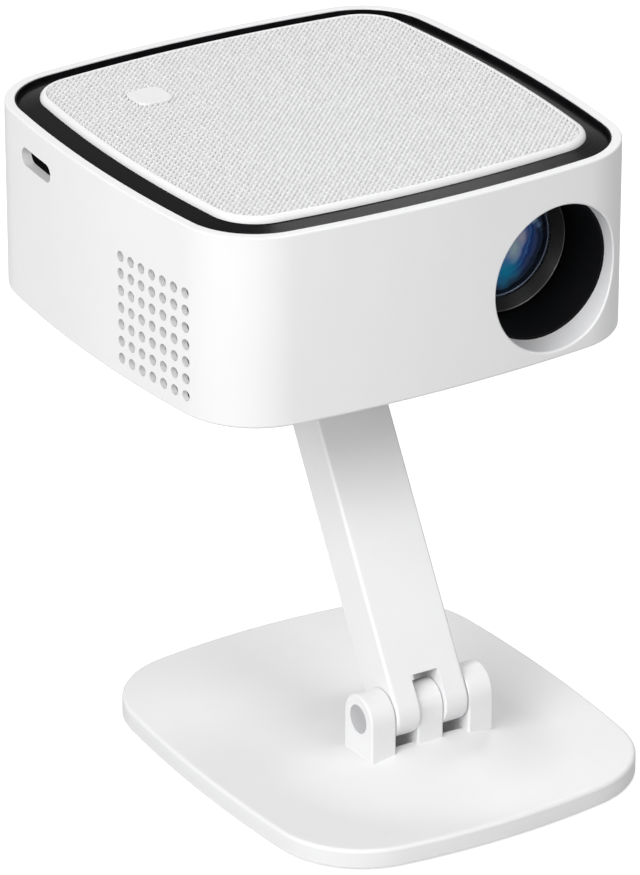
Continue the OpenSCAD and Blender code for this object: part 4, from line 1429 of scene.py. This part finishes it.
@dataclass
class Hinge:
    """Sizes shared by both hinges and helpers that model their knuckles."""

    radius: float = 7.2 * MM
    middle_radius: float = 6.2 * MM
    middle_width: float = 8.4 * MM
    prong_width: float = 7.5 * MM
    ear_width: float = 8 * MM
    side_gap: float = 0.15 * MM
    disc_radius: float = 4.2 * MM
    disc_gap: float = 0.04 * MM
    disc_depth: float = 1.9 * MM
    edge: float = 0.6 * MM

    @property
    def prong_in(self) -> float:
        """Inner side of a prong of the arm."""
        return self.middle_width / 2 + self.side_gap

    @property
    def prong_out(self) -> float:
        """Outer side of a prong of the arm."""
        return self.prong_in + self.prong_width

    @property
    def ear_in(self) -> float:
        """Inner side of an outer ear."""
        return self.prong_out + self.side_gap

    def knuckle(
        self, axis: Vector, radius: float, x0: float, x1: float, foot: float, up: Vector
    ) -> bpy.types.Object:
        """A knuckle with a round end on the axis and a flat foot.

        Args:
            axis: A point on the hinge axis at x = 0.
            radius: Radius of its round end.
            x0: Where it starts.
            x1: Where it ends.
            foot: Distance from the axis to its foot.
            up: Direction from the foot to the round end.

        Returns:
            The knuckle.
        """
        start = axis + X * x0
        shape = arc(start, Y, up, radius, 0, 180, KNUCKLE_STEPS)
        shape += [start - Y * radius - up * foot, start + Y * radius - up * foot]
        knuckle = prism("knuckle", shape, X * (x1 - x0))
        bevel(knuckle, self.edge)
        return knuckle

    def weld_knuckles(
        self, part: bpy.types.Object, axis: Vector, foot: float, up: Vector
    ) -> None:
        """Weld the two ears and the middle knuckle to a part, and sink the pin's discs.

        Args:
            part: The part that carries them.
            axis: A point on the hinge axis at x = 0.
            foot: Distance from the axis to their foot.
            up: Direction from the foot to the axis.
        """
        out = self.ear_in + self.ear_width
        half = self.middle_width / 2
        for radius, x0, x1 in (
            (self.radius, -out, -self.ear_in),
            (self.middle_radius, -half, half),
            (self.radius, self.ear_in, out),
        ):
            combine(part, self.knuckle(axis, radius, x0, x1, foot, up), Join.WELD)
        for way in (-1, 1):
            start = axis + X * way * (out - self.disc_depth)
            ring = circle(start, self.disc_radius + self.disc_gap, X)
            combine(part, prism("sink", ring, X * way * 2 * self.disc_depth), Join.CUT)


@dataclass
class StandBase:
    """The base plate with its soft swell and the lower hinge's knuckles."""

    hinge: Hinge
    bow_front: float = 7.8 * MM
    bow_side: float = 5.3 * MM
    corner: float = 28 * MM
    plate: float = 5.8 * MM
    top_round: float = 1.1 * MM
    foot_round: float = 0.5 * MM
    skirt: float = 2.2 * MM
    skin: float = 1.8 * MM
    swell_height: float = 6.2 * MM
    swell_radius: float = 44 * MM
    swell_flat: float = 8 * MM
    swell_steps: int = 16
    swell_margin: float = 0.6 * MM
    slot_length: float = 11 * MM
    slot_corner: float = 0.6 * MM
    slot_shift: float = 1.4 * MM
    slot_sink: float = 6.5 * MM

    def swell_rings(self, rim: Ring, centre: Vector) -> list[Ring]:
        """Rings of the soft swell, from its rim to its flat top.

        Args:
            rim: The last flat ring of the plate.
            centre: The swell's centre at the height of the plate's top.

        Returns:
            The rings in order.
        """
        rings = []
        for step in range(self.swell_steps + 1):
            share = 1 - step / self.swell_steps
            rise = self.swell_height * (1 + math.cos(math.pi * share)) / 2
            ring = []
            for point in rim:
                away = point - centre
                reach = min(self.swell_radius, away.length - MM)
                radius = self.swell_flat + (reach - self.swell_flat) * share
                ring.append(centre + away.normalized() * radius + Z * rise)
            rings.append(ring)
        return rings

    def build(self) -> list[Piece]:
        """Model the base.

        Returns:
            The base cover.
        """
        low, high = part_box("base_cover")
        axis = middle("lower_hinge_pin")
        axis.x = 0.0
        outline = BowedOutline(
            Vector((0, (low.y + high.y) / 2, 0)), high.x - low.x, high.y - low.y,
            self.bow_front, self.bow_side, self.corner,
        )
        z0, z1 = low.z, low.z + self.plate
        f, r = self.foot_round, self.top_round
        section = [(self.skirt, z1 - self.skin), (self.skirt, z0)]
        section += fillet(f, z0 + f, f, 270, 180) + fillet(r, z1 - r, r, 180, 90)
        section += [(r + self.swell_margin, z1)]
        rings = [outline.ring(inset, height) for inset, height in section]
        rings += self.swell_rings(rings[-1], Vector((0, axis.y, z1)))
        cover = loft("base_plate", rings)
        hinge = self.hinge
        width, length = hinge.prong_width, self.slot_length
        for way in (-1, 1):
            prong = way * (hinge.prong_in + hinge.prong_out) / 2
            spot = Vector((prong, axis.y + self.slot_shift, z1)) + Z * self.swell_height
            slot = rounded(spot, X, Y, width, length, self.slot_corner)
            combine(cover, prism("slot", slot, -Z * self.slot_sink), Join.CUT)
        hinge.weld_knuckles(cover, axis, axis.z - z1 + MM, Z)
        smooth(cover)
        return [Piece(cover, Body.BASE, "white_plastic", ("base_cover",))]


@dataclass
class Arm:
    """The folding arm, drawn upright on the lower axis and then leant back."""

    hinge: Hinge
    thickness: float = 15 * MM
    length: float = 101 * MM
    lean: float = 30.0
    notch: float = 7.8 * MM
    notch_sink: float = 7 * MM
    notch_lip: float = 2.6 * MM
    notch_corner: float = 0.3 * MM
    notch_edge: float = 0.22 * MM
    notch_angle: float = 50.0
    bore: float = 4 * MM
    edge: float = 1.0 * MM
    cover_inset: float = 2.2 * MM
    cover_end: float = 11.5 * MM
    cover_depth: float = 2 * MM
    cover_corner: float = 1.2 * MM
    cover_gap: float = 0.1 * MM
    cover_edge: float = 0.25 * MM
    screw_end: float = 20 * MM
    screw_sink: float = 2.2 * MM
    hole_steps: int = 48

    def lean_back(self, obj: bpy.types.Object) -> None:
        """Put a part drawn upright at its place and lean.

        Args:
            obj: The part, drawn on the lower axis at the origin.
        """
        axis = middle("lower_hinge_pin")
        turn = Matrix.Rotation(math.radians(-self.lean), 4, "X")
        pick(obj)
        obj.matrix_world = Matrix.Translation((0, axis.y, axis.z)) @ turn
        bpy.ops.object.transform_apply(location=True, rotation=True, scale=True)

    def block(
        self, half: float, y0: float, y1: float, z0: float, z1: float, corner: float
    ) -> bpy.types.Object:
        """A block across the arm with round corners, from y0 to y1 and from z0 to z1."""
        centre = Vector((0, y0, (z0 + z1) / 2))
        return prism("block", rounded(centre, X, Z, 2 * half, z1 - z0, corner), Y * (y1 - y0))

    def build(self) -> list[Piece]:
        """Model the arm.

        Returns:
            The arm's shell and its back cover.
        """
        r, out = self.thickness / 2, self.hinge.prong_out
        start, corner = -X * out, self.notch_corner
        shape = arc(start + Z * self.length, Y, Z, r, 0, 180, KNUCKLE_STEPS)
        shape += arc(start, Y, Z, r, 180, 360, KNUCKLE_STEPS)
        shell = prism("arm_case", shape, X * 2 * out)
        bevel(shell, self.edge, 4)
        for z0, z1 in ((-2 * r, self.notch), (self.length - self.notch, self.length + 2 * r)):
            notch = self.block(self.hinge.prong_in, -2 * r, 2 * r, z0, z1, corner)
            combine(shell, notch, Join.CUT)
        half, lip = self.hinge.prong_in - self.edge, r - self.notch_lip
        for z in (self.notch - MM, self.length - self.notch - self.notch_sink):
            room = self.block(half, -lip, lip, z, z + self.notch_sink + MM, corner)
            combine(shell, room, Join.CUT)
        for z in (0.0, self.length):
            rim = circle(start * 2 + Z * z, self.bore, X, self.hole_steps)
            combine(shell, prism("bore", rim, X * 4 * out), Join.CUT)
        half, end, floor = out - self.cover_inset, self.cover_end, r - self.cover_depth
        recess = self.block(half, floor, 2 * r, end, self.length - end, self.cover_corner)
        combine(shell, recess, Join.CUT)
        bevel(shell, self.notch_edge, 2, self.notch_angle)
        smooth(shell)
        self.lean_back(shell)
        g = self.cover_gap
        low, high, corner = end + g, self.length - end - g, self.cover_corner - g
        cover = self.block(half - g, floor, r, low, high, corner)
        cover.name = cover.data.name = "arm_back_plate"
        for z in (self.screw_end, self.length - self.screw_end):
            rim = circle(Vector((0, r - MM, z)), self.screw_sink, Y, self.hole_steps)
            combine(cover, prism("sink", rim, Y * 2 * MM), Join.CUT)
        bevel(cover, self.cover_edge, 2, EDGE_ANGLE)
        smooth(cover)
        self.lean_back(cover)
        return [
            Piece(shell, Body.ARM, "white_plastic", ("arm_shell",)),
            Piece(cover, Body.ARM, "white_plastic", ("arm_back_cover",)),
        ]


@dataclass
class HeadBracket:
    """The flanged bracket that carries the head on the upper hinge."""

    hinge: Hinge
    width: float = 56 * MM
    depth: float = 30 * MM
    thick: float = 2.4 * MM
    corner: float = 4 * MM
    edge: float = 0.5 * MM
    screw_inset: float = 4 * MM
    screw_radius: float = 1.5 * MM
    screw_steps: int = 32

    def build(self) -> list[Piece]:
        """Model the bracket.

        Returns:
            The bracket.
        """
        axis = middle("upper_hinge_pin")
        axis.x = 0.0
        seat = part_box("head_shell")[0].z
        centre = Vector((0, axis.y, seat - self.thick))
        plate = rounded(centre, X, Y, self.width, self.depth, self.corner)
        flange = prism("hinge_bracket", plate, Z * self.thick)
        bevel(flange, self.edge)
        half_w, half_d = self.width / 2 - self.screw_inset, self.depth / 2 - self.screw_inset
        for sx, sy in sorted(CORNERS):
            spot = centre + X * sx * half_w + (Y * sy * half_d - Z * MM)
            rim = circle(spot, self.screw_radius, Z, self.screw_steps)
            combine(flange, prism("hole", rim, Z * 2 * self.thick), Join.CUT)
        self.hinge.weld_knuckles(flange, axis, seat - axis.z - self.thick / 2, -Z)
        smooth(flange)
        return [Piece(flange, Body.HEAD, "white_plastic", ("head_bracket",))]


# ---- studio ----


@dataclass(frozen=True)
class Lamp:
    """A square soft lamp, with its place and side in metres and its power in watts."""

    name: str
    place: Triple
    side: float
    power: float


@dataclass
class Studio:
    """The pale floor, the soft lamps, the white surround and the camera."""

    floor_size: float = 8.0
    floor_drop: float = 0.05 * MM
    floor_white: float = 0.58
    floor_glow: float = 0.7
    floor_roughness: float = 0.9
    floor_specular: float = 0.1
    ambient: float = 0.3
    lamps: tuple[Lamp, ...] = (
        Lamp("key_lamp", (-1.9, -0.85, 1.35), 1.5, 52.0),
        Lamp("front_lamp", (0.5, -1.7, 2.0), 1.1, 17.5),
        Lamp("overhead_lamp", (0.4, 0.4, 2.2), 1.2, 3.0),
        Lamp("streak_lamp", (0.95, 1.12, 1.5), 0.32, 6.0),
    )
    azimuth: float = -31.8
    elevation: float = 25.276
    distance: float = 1.66699
    aim: Triple = (0.002956, 0.0351, 0.0801)
    lens: float = 243.02
    sensor: float = 36.0

    def floor(self) -> None:
        """Lay a white floor that keeps the shadow and joins the white surround."""
        clear_selection()
        place = (0, 0, -self.floor_drop)
        bpy.ops.mesh.primitive_plane_add(size=self.floor_size, location=place)
        floor = bpy.context.object
        floor.name = floor.data.name = "studio_floor"
        sheet = NodeSheet("studio_white")
        sheet.put("Base Color", (self.floor_white,) * 3 + (1,))
        sheet.put("Roughness", self.floor_roughness)
        sheet.put("Specular IOR Level", self.floor_specular)
        seen = sheet.add("ShaderNodeLightPath").outputs["Is Camera Ray"]
        sheet.put("Emission Color", WHITE)
        sheet.put("Emission Strength", sheet.sums("MULTIPLY", seen, self.floor_glow))
        floor.data.materials.append(sheet.material)

    def surround(self) -> None:
        """Light the room evenly and show it white to the camera and in reflections."""
        world = bpy.data.worlds.new("studio_surround")
        bpy.context.scene.world = world
        world.use_nodes = True
        world.node_tree.nodes.clear()
        tree = NodeTree(world.node_tree)
        rays = tree.add("ShaderNodeLightPath").outputs
        shown = tree.sums("MAXIMUM", rays["Is Glossy Ray"], rays["Is Transmission Ray"])
        seen = tree.sums("MAXIMUM", rays["Is Camera Ray"], shown)
        soft, white = (
            tree.add("ShaderNodeBackground", {"Color": WHITE, "Strength": strength}).outputs[0]
            for strength in (self.ambient, 1.0)
        )
        mix = tree.add("ShaderNodeMixShader", {"Fac": seen, 1: soft, 2: white})
        tree.add("ShaderNodeOutputWorld", {"Surface": mix.outputs[0]})

    def stand(self, name: str, data: bpy.types.ID, place: Vector, way: Vector) -> bpy.types.Object:
        """Stand a lamp or the camera at its place.

        Args:
            name: Its name.
            data: The lamp's or the camera's own values.
            place: Where it stands, in metres.
            way: The direction that it faces.

        Returns:
            The lamp or the camera.
        """
        obj = bpy.data.objects.new(name, data)
        bpy.context.scene.collection.objects.link(obj)
        obj.location = place
        obj.rotation_mode = "QUATERNION"
        obj.rotation_quaternion = way.to_track_quat("-Z", "Y")
        return obj

    def hang(self, lamp: Lamp) -> None:
        """Hang a soft lamp that faces the object.

        Args:
            lamp: The lamp's sizes.
        """
        data = bpy.data.lights.new(lamp.name, "AREA")
        data.size, data.energy = lamp.side, lamp.power
        place = Vector(lamp.place)
        self.stand(lamp.name, data, place, Vector(self.aim) - place)

    def camera(self) -> None:
        """Stand the camera on the left, a little above the head."""
        data = bpy.data.cameras.new("studio_camera")
        data.lens, data.sensor_width = self.lens, self.sensor
        a, e = math.radians(self.azimuth), math.radians(self.elevation)
        away = Vector((math.sin(a) * math.cos(e), -math.cos(a) * math.cos(e), math.sin(e)))
        place = Vector(self.aim) + away * self.distance
        bpy.context.scene.camera = self.stand("studio_camera", data, place, -away)

    def set_up(self) -> None:
        """Build the whole studio."""
        self.floor()
        self.surround()
        for lamp in self.lamps:
            self.hang(lamp)
        self.camera()
        bpy.context.scene.view_settings.view_transform = "Standard"


def make_finishes(case: HeadCase) -> dict[str, bpy.types.Material]:
    """Build one material for each slot of the record.

    Args:
        case: The head case, whose size some finishes follow.

    Returns:
        The materials by slot name.
    """
    coated = CoatedGlass("coated_glass", middle("barrel_rim"), LensUnit().coated_radius)
    half = (case.high - case.low) / 2
    finishes = {
        "white_plastic": Plastic("satin_white", (0.8, 0.8, 0.805)),
        "grey_plastic": Plastic("soft_grey", (0.42, 0.42, 0.43), 0.55),
        "white_mesh": Weave("woven_white", (0.86, 0.86, 0.865)),
        "button_white": Plastic("key_white", (0.77, 0.77, 0.775), 0.45),
        "black_gloss": GlossBand("gloss_black", middle("head_shell"), half.x, half.y),
        "black_plastic": Plastic(
            "matt_black", (0.005, 0.005, 0.0055), 0.65, mottle=0.2, specular=0.12
        ),
        "satin_black": Plastic("satin_black", (0.02, 0.02, 0.021), 0.36, mottle=0.15),
        "smoked_trim": Metal("smoked_trim", (0.11, 0.13, 0.17), 0.28),
        "pad_rubber": Plastic(
            "pad_rubber", (0.03, 0.03, 0.031), 0.85, 0.05 * MM, 900.0, mottle=0.2, specular=0.2
        ),
        "zinc_steel": Metal("zinc_steel", (0.52, 0.53, 0.55), 0.38),
        "satin_steel": Metal("satin_steel", (0.66, 0.66, 0.67), 0.45),
        "bright_trim": Metal("turned_trim", (0.16, 0.16, 0.17), 0.34),
        "raw_aluminium": Metal("raw_aluminium", (0.78, 0.78, 0.8), 0.34, (1, 8, 1)),
        "coated_glass": coated,
        "clear_glass": Glass("clear_glass", (0.9, 0.95, 0.97)),
        "lcd_glass": Glass("panel_glass", (0.06, 0.07, 0.14), 0.08, 0.3),
        "led_copper": Metal("led_copper", (0.78, 0.52, 0.3), 0.3),
        "circuit_board": CircuitBoard("solder_mask"),
        "cone_paper": Plastic(
            "cone_paper", (0.05, 0.05, 0.05), 0.9, 0.08 * MM, 1500.0, mottle=0.3, specular=0.15
        ),
    }
    return {slot: finish.material() for slot, finish in finishes.items()}


def dress_frame(finishes: dict[str, bpy.types.Material]) -> None:
    """Give every CAD node the finish of its slot.

    Args:
        finishes: A material for each slot of the record.
    """
    for part in frame["record"]["subparts"]:
        node = frame["nodes"][part["node"]]
        if not node.material_slots:
            node.data.materials.append(None)
        for place in node.material_slots:
            place.material = finishes[part["material_slot"]]
        log.info("%s is finished in %s", part["node"], part["material_slot"])


def main() -> None:
    """Build each sub-assembly in order, dress the frame and set up the studio."""
    logging.basicConfig(level=logging.INFO, format="%(name)s: %(message)s")
    case, hinge = HeadCase(), Hinge()
    finishes = make_finishes(case)
    dress_frame(finishes)
    stand = [StandBase(hinge), Arm(hinge), HeadBracket(hinge)]
    for maker in (case, TopTrim(case), LensUnit(), *stand):
        for piece in maker.build():
            piece.join_frame(finishes)
    Studio().set_up()


if __name__ == "__main__":
    main()
